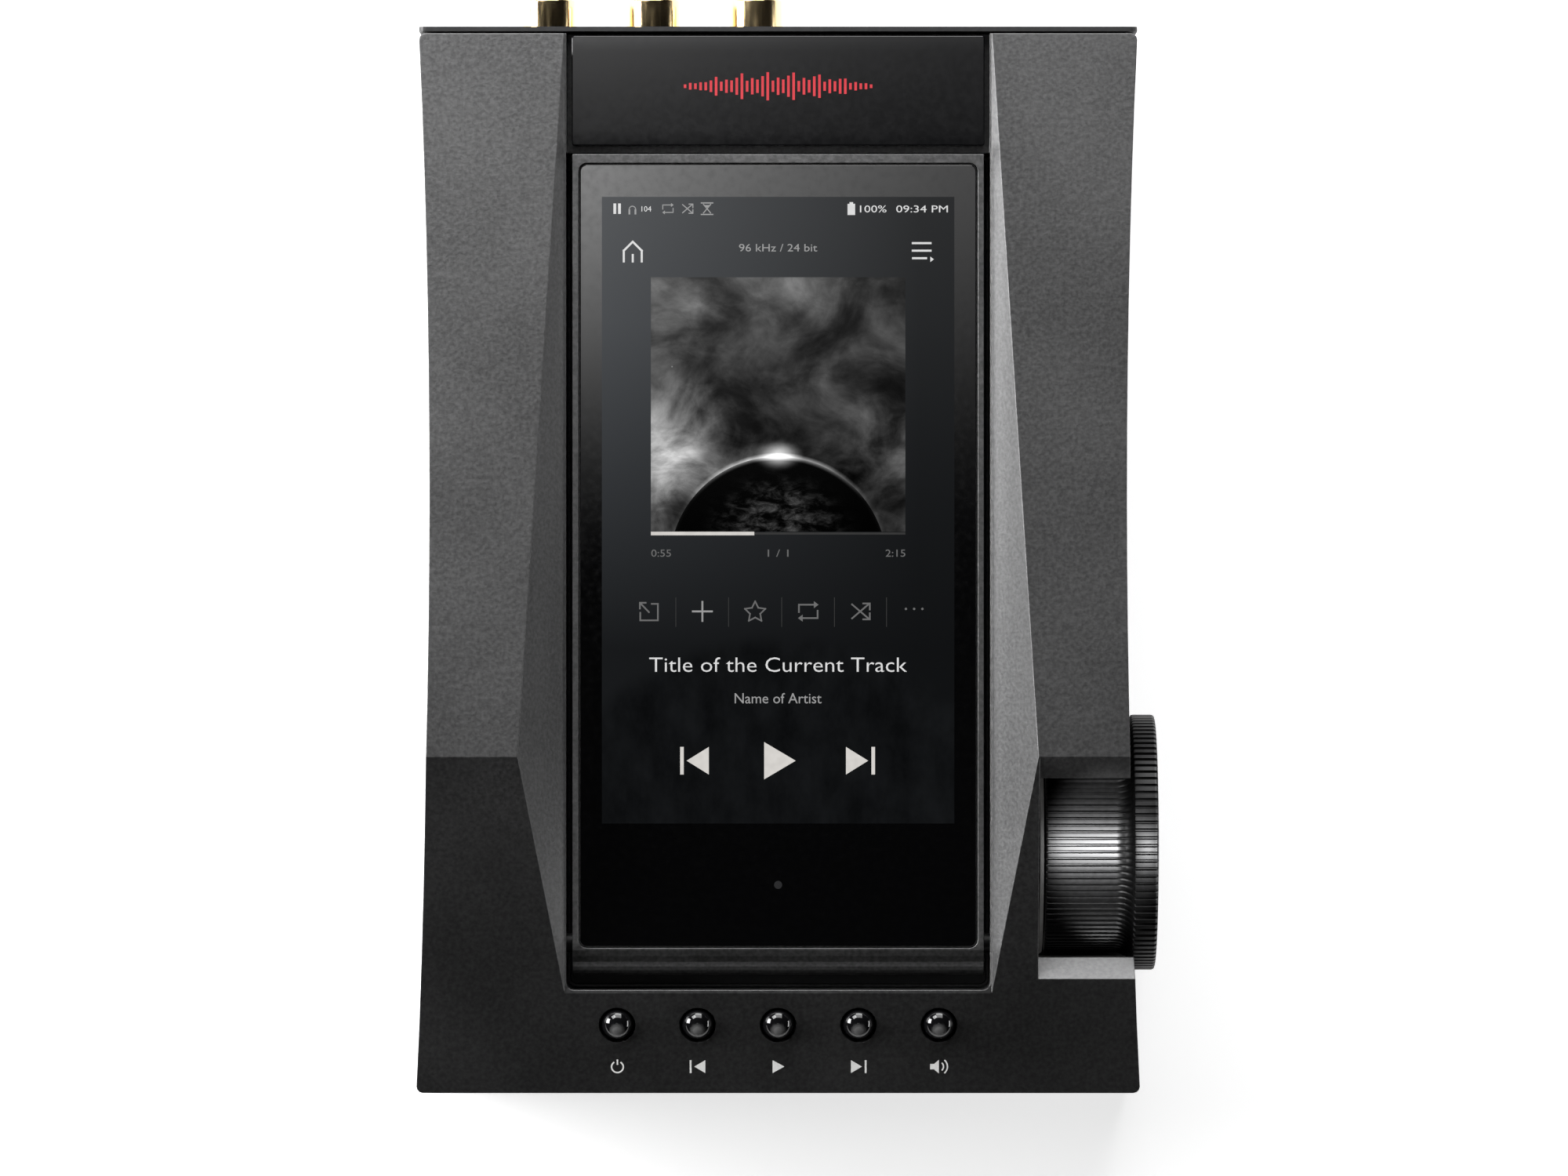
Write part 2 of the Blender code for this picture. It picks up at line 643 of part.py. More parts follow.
def volume_control(metal, steel, black, clear):
    centre = (0, WHEEL_Y, WHEEL_Z)
    as_part(turned(wheel_profile(), "X", centre, 40), "volume_wheel", metal)
    shaft = [(0, 47.7), (SHAFT_RADIUS, 47.7), (SHAFT_RADIUS, 37.6), (0, 37.6)]
    as_part(turned(shaft, "X", centre, 16), "encoder_shaft", steel)
    bore = SHAFT_RADIUS + GAP
    encoder = [(0, 37.3), (bore, 37.3), (bore, 43.9), (4.6, 43.9), (4.6, 41.5), (7.5, 41.5), (7.5, 36.5),
               (0, 36.5)]
    as_part(turned(encoder, "X", centre, 20), "encoder_body", black)
    ring = [(13.4, 37.0), (15.4, 37.0), (15.8, 36.5), (13.4, 36.5)]
    as_part(turned(ring, "X", centre, 40, closed=True), "wheel_light_ring", clear)


# Display

def barrel_hinge_outline():
    """Side view of the display body: flat, and round about its hinge."""
    barrel = arc((HINGE_Y, HINGE_Z), BARREL_RADIUS, 90, 270, 16)
    return barrel + [(DISPLAY_REAR, DISPLAY_BOTTOM), (DISPLAY_REAR, DECK_Z)]


def display(metal, glass, screen, black, steel, brass):
    frame = as_part(prism(barrel_hinge_outline(), -DISPLAY_HALF_WIDTH, DISPLAY_HALF_WIDTH, "X"),
                    "display_frame", metal)
    glass_outline = rounded(-GLASS_HALF_WIDTH, GLASS_HALF_WIDTH, GLASS_FRONT, GLASS_REAR, GLASS_CORNER)
    seat = rounded(-GLASS_HALF_WIDTH - GAP, GLASS_HALF_WIDTH + GAP, GLASS_FRONT - GAP, GLASS_REAR + GAP,
                   GLASS_CORNER + GAP)
    glass_bottom = GLASS_TOP - GLASS_THICKNESS
    cut(frame, prism(seat, glass_bottom - GAP, 60))
    cut(frame, box((-25.6, -38.3, 31.4), (25.6, 52.3, 35)))
    cut(frame, box((-26, -46, 20), (26, 53, 30.2)))
    cut(frame, prism(rounded(-26.9, 26.9, -47.3, 54.3, 1.5), 20, 28.3))
    plates = [as_part(prism(glass_outline, glass_bottom, GLASS_TOP), "cover_glass", glass)]
    plates.append(as_part(box((-25.3, -38, 31.7), (25.3, 52, glass_bottom - GAP)), "lcd_panel", screen))
    lid = prism(rounded(-26.6, 26.6, -47, 54, 1.2), DISPLAY_BOTTOM, 28.0)
    plates.append(as_part(lid, "display_back_cover", black))
    for side, name in ((-1, "left"), (1, "right")):
        start = (side * PIN_INNER_X, HINGE_Y, HINGE_Z)
        bore = (side * (PIN_INNER_X - GAP), HINGE_Y, HINGE_Z)
        cut(frame, rod(PIN_RADIUS + GAP, bore, (side * 40, HINGE_Y, HINGE_Z), 16))
        pin = rod(PIN_RADIUS, start, (side * (BUSH_OUTER_X - 0.2), HINGE_Y, HINGE_Z), 16)
        plates.append(as_part(pin, f"hinge_pin_{name}", steel))
        low, high = sorted((side * BUSH_INNER_X, side * BUSH_OUTER_X))
        inside = PIN_RADIUS + GAP
        bush = [(inside, high), (BUSH_RADIUS, high), (BUSH_RADIUS, low), (inside, low)]
        as_part(turned(bush, "X", (0, HINGE_Y, HINGE_Z), 20, closed=True), f"hinge_bush_{name}", brass)
    for obj in (frame, *plates):
        set_origin(obj, (0, HINGE_Y, HINGE_Z))


# Buttons

def buttons(look):
    """Domes on stems; two ears under the wall keep each one in."""
    sphere = (BUTTON_RADIUS ** 2 + BUTTON_DOME ** 2) / (2 * BUTTON_DOME)
    reach = math.degrees(math.asin(BUTTON_RADIUS / sphere))
    dome = arc((0, BUTTON_DOME - sphere + 0.1), sphere, 90, 90 - reach, 4)
    dome[0] = (0, dome[0][1])
    stem = [(BUTTON_RADIUS, -BUTTON_LENGTH), (0, -BUTTON_LENGTH)]
    for index, name in enumerate(BUTTON_NAMES):
        button = turned(dome + stem, steps=18)
        ears = box((-3.4, -1.5, 0.1 - BUTTON_LENGTH), (3.4, 1.5, -FACET_WALL - GAP))
        for obj in (button, ears):
            obj.location = Vector((button_x(index), *facet_point(BUTTON_Y))) * MM
            obj.rotation_euler = (FACET_ANGLE, 0, 0)
        add(as_part(button, name, look), ears)


def build():
    aluminium = new_material("anodised_aluminium", (0.075, 0.078, 0.082), 0.45, 0.9)
    dark_metal = new_material("dark_metal", (0.04, 0.041, 0.043), 0.35, 0.9)
    black_gloss = new_material("black_gloss", (0.006, 0.006, 0.007), 0.06)
    black_plastic = new_material("black_plastic", (0.02, 0.02, 0.021), 0.5)
    rubber = new_material("rubber", (0.025, 0.025, 0.025), 0.85)
    steel = new_material("steel", (0.5, 0.5, 0.5), 0.3, 1.0)
    gold = new_material("gold", (0.85, 0.6, 0.25), 0.15, 1.0)
    brass = new_material("brass", (0.7, 0.5, 0.2), 0.3, 1.0)
    clear = new_material("light_guide", (0.8, 0.82, 0.85), 0.2)
    screen = new_material("screen", (0.02, 0.022, 0.026), 0.2)
    board = new_material("circuit_board", (0.01, 0.12, 0.05), 0.5)
    wrap = new_material("battery_wrap", (0.05, 0.06, 0.12), 0.4)
    upper_housing(aluminium)
    base_plate(aluminium)
    base_screws(steel)
    feet(rubber)
    rear_panel(black_plastic)
    rear_screws(dark_metal)
    rca_jacks(gold)
    usb_ports(steel)
    optical_port(black_plastic)
    card_slot(steel)
    crest(black_gloss, clear)
    internals(board, black_plastic, steel, wrap)
    phone_jacks(dark_metal)
    volume_control(dark_metal, steel, black_plastic, clear)
    display(aluminium, black_gloss, screen, black_plastic, steel, brass)
    buttons(black_gloss)


build()
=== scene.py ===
"""Looks of the desktop audio player: bead-blasted dark aluminium, a glossy black display that tilts, a
knurled volume wheel, gold sockets, and the studio around it. Metres, +Z up, the user sits at -Y."""
import json
import math

import bmesh  # noqa: E402
import bpy  # noqa: E402
from mathutils import Matrix, Vector  # noqa: E402
from mathutils.bvhtree import BVHTree  # noqa: E402

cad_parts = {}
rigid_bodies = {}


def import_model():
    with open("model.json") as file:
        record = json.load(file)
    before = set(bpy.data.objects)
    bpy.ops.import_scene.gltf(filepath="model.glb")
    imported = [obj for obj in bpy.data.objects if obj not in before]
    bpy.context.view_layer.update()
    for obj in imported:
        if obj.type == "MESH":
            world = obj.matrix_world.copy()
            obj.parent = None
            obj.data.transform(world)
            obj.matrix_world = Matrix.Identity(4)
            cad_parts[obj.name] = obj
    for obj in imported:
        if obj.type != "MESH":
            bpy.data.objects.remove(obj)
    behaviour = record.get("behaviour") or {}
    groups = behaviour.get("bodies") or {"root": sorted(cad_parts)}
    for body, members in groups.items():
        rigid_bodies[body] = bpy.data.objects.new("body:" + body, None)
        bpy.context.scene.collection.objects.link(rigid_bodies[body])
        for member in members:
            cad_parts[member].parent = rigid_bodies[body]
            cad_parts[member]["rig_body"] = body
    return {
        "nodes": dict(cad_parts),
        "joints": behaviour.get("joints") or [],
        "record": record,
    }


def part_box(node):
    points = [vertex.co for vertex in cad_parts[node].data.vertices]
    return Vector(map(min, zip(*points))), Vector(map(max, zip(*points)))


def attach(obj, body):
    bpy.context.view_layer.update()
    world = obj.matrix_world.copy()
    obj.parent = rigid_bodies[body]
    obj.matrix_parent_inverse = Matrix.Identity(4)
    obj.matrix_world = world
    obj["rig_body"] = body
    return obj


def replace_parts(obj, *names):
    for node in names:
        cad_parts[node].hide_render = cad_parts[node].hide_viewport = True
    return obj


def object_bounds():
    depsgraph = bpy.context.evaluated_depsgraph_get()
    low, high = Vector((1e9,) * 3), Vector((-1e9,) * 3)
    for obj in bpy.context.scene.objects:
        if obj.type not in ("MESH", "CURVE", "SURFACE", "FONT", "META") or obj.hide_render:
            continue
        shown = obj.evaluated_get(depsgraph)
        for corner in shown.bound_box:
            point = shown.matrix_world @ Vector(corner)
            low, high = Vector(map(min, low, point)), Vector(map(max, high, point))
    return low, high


MM = 0.001

# Finishes
GLASS_ROUGHNESS = 0.04
GLASS_SPECULAR = 0.95
SCREEN_SPECULAR = 0.22
# Painted glow of the ink on the housing
PAINTED_INK_GLOW = 0.25
BLACK_GLOSS = (0.004, 0.004, 0.0045)

# Displayed grey levels of the marks on the screen, 0 to 1
UI_BRIGHT = 0.86
UI_KEYS = 0.83
UI_SOFT = 0.60
UI_DIM = 0.42
UI_FAINT = 0.22
HOME_DOT = 0.17
CAPITAL = 0.729  # height of a capital in the built-in font

# Crest panel, in mm. Its top falls from rear to front by TILT and CURVE.
CREST_TILT = 0.0025
CREST_CURVE = 0.0009
CREST_SLICES = 14
BAR_COUNT = 37
BAR_PITCH = 0.72
BAR_WIDTH = 0.36
BAR_SHORTEST = 0.5
BAR_LONGEST = 4.2

# Buttons and their symbols, in mm
BUTTON_RADIUS = 2.25
BUTTON_DOME = 2.2  # height of the dome above its rim
BUTTON_SKIRT = 5.2  # from the top of the dome down to the cap's end
# The grey patch on each dome's crown is a painted reflection of the light overhead.
PAINTED_REFLECTION_GREY = 0.17
PAINTED_REFLECTION_RADIUS = 1.15
PAINTED_REFLECTION_BLUR = 0.7
PAINTED_REFLECTION_OFFSET = 0.45  # the painted reflection's centre lies this far towards the user
ICON_DISTANCE = 6.4
ICON_HALF = 0.95

# Phono and headphone sockets, in mm
PHONO_BORE = 3.1
PHONO_DEPTH = 9.5
PHONE_DEPTH = 14.6
PHONE_BORES = {"6_35": 3.4, "4_4": 2.3, "3_5": 1.85, "2_5": 1.35}

# Volume wheel, in mm
RIDGES = 104
RIDGE_DEPTH = 0.34
# One ridge: share of its pitch, share of its depth
RIDGE_SHAPE = ((0.0, 1.0), (0.06, 1.0), (0.15, 0.5), (0.24, 0.0), (0.5, -0.02), (0.76, 0.0), (0.85, 0.5),
               (0.94, 1.0))
FLANGE_WIDTH = 3.36
FILLET = 2.45  # the hollow round between drum and flange
FILLET_STEPS = 12
DISH_RADIUS = 14.4
HOLLOW_RADIUS = 13.0  # the hollow behind the drum's wall, with a hub and its bore in it
HUB_RADIUS = 5.2
HUB_BORE = 3.3
HOLLOW_DEPTH = 11.9
HUB_DEPTH = 6.9  # from the drum's open end to the hub's end
HUB_BORE_DEPTH = 10.7
# The wheel's round and flange are darkened by painted shade.
SHADE_BAND_DEPTH = 0.6  # painted shade: the flange is darker than the drum by this share
SHADE_BAND_FADE = 2.4

# Picture on the screen, in mm from the middle of its upper edge; y runs down
PICTURE_WIDTH = 49.1
PICTURE_HEIGHT = 87.3
PICTURE_MARGIN = 4.43
COVER_SIZE = 35.45
COVER_TOP = 11.2
COVER_PLAYED = 14.4  # length of the played part of the progress line

# Camera: height in metres, place in mm, focal length in mm
VIEW_HEIGHT = 1.3
VIEW_X = -0.363
VIEW_Y = -6.12
LENS = 208.35

# Studio
FLOOR_HALF = 4.0
FLOOR_WHITE = 0.92
FLOOR_GLOW = 0.72
WORLD_GREY = 0.004
BACKDROP = 0.85
LIGHTS = {
    # name: place, aim, width, height, power
    "rear_near": ((0, 0.4, 0.34), (0, 0.05, 0.02), 0.5, 0.25, 1.63),
    "rear_near_left": ((-0.22, 0.3, 0.3), (-0.02, 0.05, 0.03), 0.2, 0.2, 1.15),
    "rear_far": ((0.05, 0.8, 0.3), (0, -0.02, 0.03), 0.6, 0.2, 2.83),
    "left_low": ((-0.6, 0.1, 0.22), (0, 0, 0.03), 0.3, 0.3, 5.39),
    "right_far": ((0.9, -0.1, 0.16), (0.06, -0.04, 0), 0.5, 0.15, 1.75),
}
SPOT_PLACE = (0.0785, -0.10, 1.0)
SPOT_RADIUS = 0.002
SPOT_ANGLE = 1.45
SPOT_BLEND = 0.3
SPOT_WAIST = 0.66  # width of the beam as a share of its length
SPOT_POWER = 88.0
# The glow overhead, as tangents of the angle from straight up, measured back and aside
GLOW_START = 0.004
GLOW_LENGTH = 0.058
GLOW_END = 0.056
GLOW_SIDE = 0.0213
GLOW_WIDTH = 0.0415
GLOW_FADE = 0.28
GLOW_POWER = 1.85
GLOW_STRENGTH = 3.25
GLOW_LOWEST = 0.985  # cosine of the widest angle that the glow reaches

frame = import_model()
NODES = frame["nodes"]
RECORD = frame["record"]
SLOT_OF = {part["node"]: part["material_slot"] for part in RECORD["subparts"]}
cad_low, cad_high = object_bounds()
WHEEL_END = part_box("volume_wheel")[1].x


def middle(node):
    low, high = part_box(node)
    return (low + high) / 2


def body_of(node):
    return NODES[node]["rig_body"]


# -------- materials

def linear(level):
    """Light of a displayed grey level."""
    return level / 12.92 if level <= 0.04045 else ((level + 0.055) / 1.055) ** 2.4


class Graph:
    """A short way to write a tree of shader nodes."""

    def __init__(self, tree):
        self.tree = tree

    def add(self, kind, **settings):
        node = self.tree.nodes.new("ShaderNode" + kind)
        for key, value in settings.items():
            setattr(node, key, value)
        return node

    def put(self, socket, value):
        """Sets a socket to a value, or links it to another node's output."""
        if isinstance(value, bpy.types.NodeSocket):
            self.tree.links.new(value, socket)
        elif hasattr(socket.default_value, "__len__") and not hasattr(value, "__len__"):
            socket.default_value = (value, value, value, 1.0)[: len(socket.default_value)]
        elif hasattr(value, "__len__") and len(value) == 3 and len(socket.default_value) == 4:
            socket.default_value = (*value, 1.0)
        else:
            socket.default_value = value

    def math(self, operation, a, b=0.0, c=0.0, clamp=False):
        node = self.add("Math", operation=operation, use_clamp=clamp)
        for socket, value in zip(node.inputs, (a, b, c)):
            self.put(socket, value)
        return node.outputs[0]

    def times(self, a, b, clamp=False):
        return self.math("MULTIPLY", a, b, clamp=clamp)

    def plus(self, a, b):
        return self.math("ADD", a, b)

    def minus(self, a, b):
        return self.math("SUBTRACT", a, b)

    def where(self, kind="Object"):
        return self.add("TexCoord").outputs[kind]

    def noise(self, scale, detail=2.0, roughness=0.5, at=None, distortion=0.0):
        node = self.add("TexNoise")
        self.put(node.inputs["Vector"], at or self.where())
        self.put(node.inputs["Scale"], scale)
        self.put(node.inputs["Detail"], detail)
        self.put(node.inputs["Roughness"], roughness)
        self.put(node.inputs["Distortion"], distortion)
        return node.outputs["Fac"]

    def spread(self, value, low, high, from_low=0.3, from_high=0.7, smooth=False):
        """Maps a value's usual range onto another, clamped."""
        node = self.add("MapRange", interpolation_type="SMOOTHSTEP" if smooth else "LINEAR")
        self.put(node.inputs["Value"], value)
        ranges = {"From Min": from_low, "From Max": from_high, "To Min": low, "To Max": high}
        for key, number in ranges.items():
            self.put(node.inputs[key], number)
        return node.outputs["Result"]

    def mix(self, factor, a, b, blend="MIX"):
        node = self.add("Mix", data_type="RGBA", blend_type=blend)
        self.put(node.inputs["Factor"], factor)
        self.put(node.inputs[6], a)
        self.put(node.inputs[7], b)
        return node.outputs[2]

    def scaled(self, factors, at=None):
        node = self.add("VectorMath", operation="MULTIPLY")
        self.put(node.inputs[0], at or self.where())
        self.put(node.inputs[1], factors)
        return node.outputs[0]

    def split(self, vector):
        node = self.add("SeparateXYZ")
        self.put(node.inputs[0], vector)
        return node.outputs

    def length(self, a, b):
        return self.math("SQRT", self.plus(self.times(a, a), self.times(b, b)))


class Nodes(Graph):
    """A material with a Principled shader."""

    def __init__(self, name):
        self.material = bpy.data.materials.new(name)
        self.material.use_nodes = True
        super().__init__(self.material.node_tree)
        self.shader = self.tree.nodes["Principled BSDF"]

    def set(self, **inputs):
        for key, value in inputs.items():
            self.put(self.shader.inputs[key.replace("_", " ")], value)

    def bump(self, height, distance, under=None):
        node = self.add("Bump")
        if under:
            self.put(node.inputs["Normal"], under.outputs[0])
        self.put(node.inputs["Height"], height)
        self.put(node.inputs["Distance"], distance)
        self.set(Normal=node.outputs["Normal"])

    def edges(self):
        """0 on open surfaces, 1 on worn outer edges."""
        pointed = self.add("NewGeometry").outputs["Pointiness"]
        return self.spread(pointed, 0.0, 1.0, 0.52, 0.60)


class Behind(Nodes):
    """What lies behind the display's glass: its own light and the glass's gloss."""

    def __init__(self, name):
        super().__init__(name)
        self.set(Base_Color=(0, 0, 0), Roughness=GLASS_ROUGHNESS, Specular_IOR_Level=SCREEN_SPECULAR)


def surface(name, colour, roughness, metallic=0.0, grain=1.1, contrast=0.05, height=0.01, wear=0.25,
            specular=0.5, edge=0.0, painted_shade_band=None):
    """A finish with fine grain, uneven gloss, a slight bump and paler edges. Grain is per mm. height and
    edge, the radius that edges are broken to, are in mm. The last argument gives where a band of painted
    shade lies along X."""
    made = Nodes(name)
    fine = made.noise(grain * 1000, 2.0, 0.55)
    broad = made.noise(45, 3.0)
    shade = made.spread(fine, 1 - contrast, 1 + contrast)
    base = made.mix(1.0, colour, shade, "MULTIPLY")
    worn = tuple(min(1.0, c * 1.5 + 0.03) for c in colour)
    base = made.mix(made.times(made.edges(), wear), base, worn)
    if painted_shade_band:
        # Painted shade: the base colour darkens in a band along X.
        along = made.split(made.where())[0]
        start, end = painted_shade_band
        rise = made.spread(along, 0.0, 1.0, start, start + SHADE_BAND_FADE * MM, smooth=True)
        inside = made.times(rise, made.spread(along, 1.0, 0.0, end - 0.2 * MM, end))
        base = made.mix(made.times(inside, SHADE_BAND_DEPTH), base, (0.0, 0.0, 0.0))
    gloss = made.spread(broad, roughness * 0.93, roughness * 1.07)
    gloss = made.plus(gloss, made.spread(fine, -0.02, 0.02))
    made.set(Base_Color=base, Roughness=gloss, Metallic=metallic, Specular_IOR_Level=specular)
    rounding = None
    if edge:
        rounding = made.add("Bevel", samples=6)
        made.put(rounding.inputs["Radius"], edge * MM)
        made.set(Normal=rounding.outputs[0])
    if height:
        made.bump(fine, height * MM, under=rounding)
    return made.material


def brushed(name, colour, roughness, stretch=(1, 1, 40)):
    """Turned or drawn metal: fine lines along one direction."""
    made = Nodes(name)
    lines = made.noise(350, 3.0, 0.6, made.scaled(stretch))
    broad = made.noise(60, 2.0)
    base = made.mix(1.0, colour, made.spread(lines, 0.92, 1.06), "MULTIPLY")
    worn = tuple(min(1, c * 1.3 + 0.05) for c in colour)
    base = made.mix(made.times(made.edges(), 0.3), base, worn)
    gloss = made.spread(broad, roughness * 0.85, roughness * 1.15)
    gloss = made.plus(gloss, made.spread(lines, -0.03, 0.03))
    made.set(Base_Color=base, Roughness=gloss, Metallic=1.0)
    made.bump(lines, 0.004 * MM)
    return made.material


def glowing(name, tint, level):
    """Lit marks under the same gloss as the glass they lie on. level is a displayed grey level."""
    made = Behind(name)
    flicker = made.spread(made.noise(900, 1.0), 0.95, 1.05)
    made.set(Emission_Color=tint, Emission_Strength=made.times(flicker, linear(level)))
    return made.material


def ink_with_painted_glow(name, level):
    """Pale ink on the housing, with a painted glow added to it."""
    made = Nodes(name)
    grain = made.noise(3000, 2.0)
    colour = (level, level, level * 0.98)
    made.set(Base_Color=made.mix(1.0, colour, made.spread(grain, 0.9, 1.05), "MULTIPLY"))
    made.set(Roughness=made.spread(grain, 0.5, 0.6))
    # Painted glow: the ink gives light of its own.
    made.set(Emission_Color=(1.0, 1.0, 0.98), Emission_Strength=PAINTED_INK_GLOW)
    return made.material


def album_material(name):
    """A made-up cover: grey clouds, stars and the rim of a dark planet. UV runs 0 to 1 over the square."""
    made = Behind(name)
    uv = made.where("UV")
    x, y, _ = made.split(uv)

    def away_from(cx, cy, stretch=1.0):
        dx = made.minus(x, cx)
        dy = made.times(made.minus(y, cy), stretch)
        return made.length(dx, dy)

    def glow(cx, cy, radius, stretch=1.0):
        return made.spread(away_from(cx, cy, stretch), 1.0, 0.0, 0.0, radius, smooth=True)

    clouds = made.noise(3.1, 9.0, 0.55, uv, 0.5)
    wisps = made.noise(7.0, 8.0, 0.6, made.scaled((1.0, 1.4, 1.0), uv), 0.9)
    body = made.plus(made.spread(clouds, 0.0, 0.42, 0.36, 0.68), made.spread(wisps, -0.03, 0.10))
    light = made.plus(made.times(glow(0.02, 0.30, 0.52, 0.9), 0.55),
                      made.times(glow(0.08, 0.28, 0.17), 0.35))
    light = made.plus(light, made.times(glow(0.97, 0.38, 0.26), 0.22))
    light = made.plus(light, made.times(glow(0.12, 0.92, 0.42), 0.20))
    light = made.plus(light, made.times(glow(0.62, 0.97, 0.30), 0.16))
    sky = made.times(body, made.plus(light, 0.42))
    sky = made.plus(made.times(sky, 1.6), made.times(light, 0.28))
    sky = made.plus(sky, 0.03)
    stars = made.add("TexVoronoi")
    made.put(stars.inputs["Vector"], uv)
    made.put(stars.inputs["Scale"], 9.0)
    star = made.spread(stars.outputs["Distance"], 1.0, 0.0, 0.015, 0.05)
    pick = made.math("GREATER_THAN", made.split(stars.outputs["Color"])[0], 0.72)
    sky = made.plus(sky, made.times(made.times(star, pick), 0.45))
    radius = 0.428
    distance = away_from(0.5, -0.133)
    rim = made.spread(made.math("ABSOLUTE", made.minus(distance, radius)), 1.0, 0.0, 0.0, 0.016)
    rim = made.times(rim, made.spread(y, 0.06, 0.55, 0.12, 0.30))
    halo = made.times(glow(0.5, 0.30, 0.115, 1.7), 0.8)
    ground = made.noise(15.0, 9.0, 0.68, made.scaled((1.0, 1.8, 1.0), uv), 0.4)
    depth = made.minus(radius, distance)
    ground = made.times(made.spread(ground, 0.01, 0.40, 0.42, 0.72),
                       made.spread(depth, 0.15, 1.0, 0.02, 0.16, smooth=True))
    ground = made.times(ground, glow(0.5, 0.04, 0.42))
    inside = made.math("LESS_THAN", distance, radius)
    picture = made.mix(inside, sky, made.plus(ground, 0.012))
    picture = made.mix(1.0, picture, made.plus(rim, halo), "ADD")
    level = made.add("Gamma")
    made.put(level.inputs[0], picture)
    made.put(level.inputs[1], 2.2)
    made.set(Emission_Color=level.outputs[0], Emission_Strength=1.0)
    return made.material


def backdrop_material(name):
    """The screen behind the controls: near black, with a faint enlarged echo of the cover."""
    made = Behind(name)
    x, y, _ = made.split(made.where("UV"))
    dx = made.times(made.minus(x, 0.5), 0.56)
    dy = made.minus(y, -0.13)
    distance = made.length(dx, dy)
    dome = made.spread(distance, 0.0, 1.0, 0.40, 0.44, smooth=True)
    haze = made.spread(made.noise(9, 7.0, 0.62, made.where("UV")), 0.6, 1.4, 0.35, 0.65)
    low = made.times(haze, linear(0.07))
    left = made.spread(y, linear(0.10), linear(0.255), 0.28, 0.80)
    right = made.spread(y, linear(0.07), linear(0.115), 0.28, 0.80)
    upper = made.mix(made.spread(x, 0.0, 1.0, 0.0, 0.9), left, right)
    shade = made.mix(dome, low, upper)
    made.set(Emission_Color=made.mix(1.0, shade, (0.92, 1.0, 1.10), "MULTIPLY"), Emission_Strength=1.0)
    return made.material


FINISHES = {
    "housing_metal": surface("housing_metal", (0.136, 0.136, 0.137), 0.46, 1.0, 1.8, 0.18, 0.024, 0.1,
                             edge=0.2),
    # The wheel's round and flange carry a band of painted shade.
    "wheel_metal": surface("wheel_metal", (0.07, 0.07, 0.071), 0.42, 1.0, 1.6, 0.08, 0.002, 0.1,
                           painted_shade_band=(WHEEL_END - (FLANGE_WIDTH + FILLET) * MM, WHEEL_END - 0.3 * MM)),
    "gloss_black": surface("gloss_black", BLACK_GLOSS, 0.06, 0.0, 1.0, 0.1, 0.0, 0.0, 0.6),
    "cover_glass": surface("cover_glass", (0.0015, 0.0015, 0.0017), GLASS_ROUGHNESS, 0.0, 1.0, 0.1, 0.0, 0.0,
                           GLASS_SPECULAR),
    "screen": surface("screen", (0.012, 0.013, 0.016), 0.3),
    "black_plastic": surface("black_plastic", (0.018, 0.018, 0.019), 0.48, 0.0, 1.6, 0.15, 0.02, 0.2),
    "rubber": surface("rubber", (0.022, 0.022, 0.022), 0.8, 0.0, 2.0, 0.2, 0.03, 0.15),
    "steel": brushed("steel", (0.55, 0.55, 0.56), 0.28),
    "dark_steel": brushed("dark_steel", (0.09, 0.09, 0.095), 0.3),
    "gold": brushed("gold", (1.0, 0.76, 0.42), 0.16),
    "bearing_brass": brushed("bearing_brass", (0.72, 0.53, 0.25), 0.3, (40, 1, 1)),
    "light_guide": surface("light_guide", (0.75, 0.77, 0.8), 0.25, 0.0, 1.0, 0.04, 0.004, 0.0),
    "insulator_black": surface("insulator_black", (0.02, 0.02, 0.02), 0.4),
    "insulator_white": surface("insulator_white", (0.75, 0.74, 0.70), 0.4),
    "insulator_red": surface("insulator_red", (0.45, 0.02, 0.02), 0.4),
    "circuit_board": surface("circuit_board", (0.015, 0.11, 0.05), 0.4, 0.0, 0.8, 0.25, 0.02),
    "battery_wrap": surface("battery_wrap", (0.06, 0.07, 0.11), 0.35, 0.0, 0.3, 0.1, 0.02),
}
DISPLAY_METAL = surface("display_metal", (0.25, 0.25, 0.252), 0.42, 1.0, 1.8, 0.22, 0.02, 0.10, edge=0.04)


# -------- shapes

def finish_piece(obj, node, slot=None, smooth=30):
    """Gives a new piece its slot's finish, smooth shading and the body of the CAD node it belongs with."""
    if smooth:
        obj.data.shade_smooth()
        obj.data.set_sharp_from_angle(angle=math.radians(smooth))
    slot = slot or SLOT_OF[node]
    if not obj.data.materials:
        obj.data.materials.append(FINISHES[slot])
    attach(obj, body_of(node))
    return obj


def placed(name, data):
    """A new object in the scene."""
    obj = bpy.data.objects.new(name, data)
    bpy.context.scene.collection.objects.link(obj)
    return obj


def turned_along_y(name, profile, place, steps):
    """Turns a profile about an axis along Y, at absolute places."""
    return lathe(name, profile, (place.x, 0, place.z), (0, 1, 0), steps)


def stand_in(obj, node, slot=None, smooth=30):
    """Finishes a piece that takes the place of a CAD node."""
    finish_piece(obj, node, slot, smooth)
    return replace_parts(obj, node)


def from_bmesh(shape, name):
    mesh = bpy.data.meshes.new(name)
    bmesh.ops.recalc_face_normals(shape, faces=shape.faces)
    shape.to_mesh(mesh)
    shape.free()
    return placed(name, mesh)


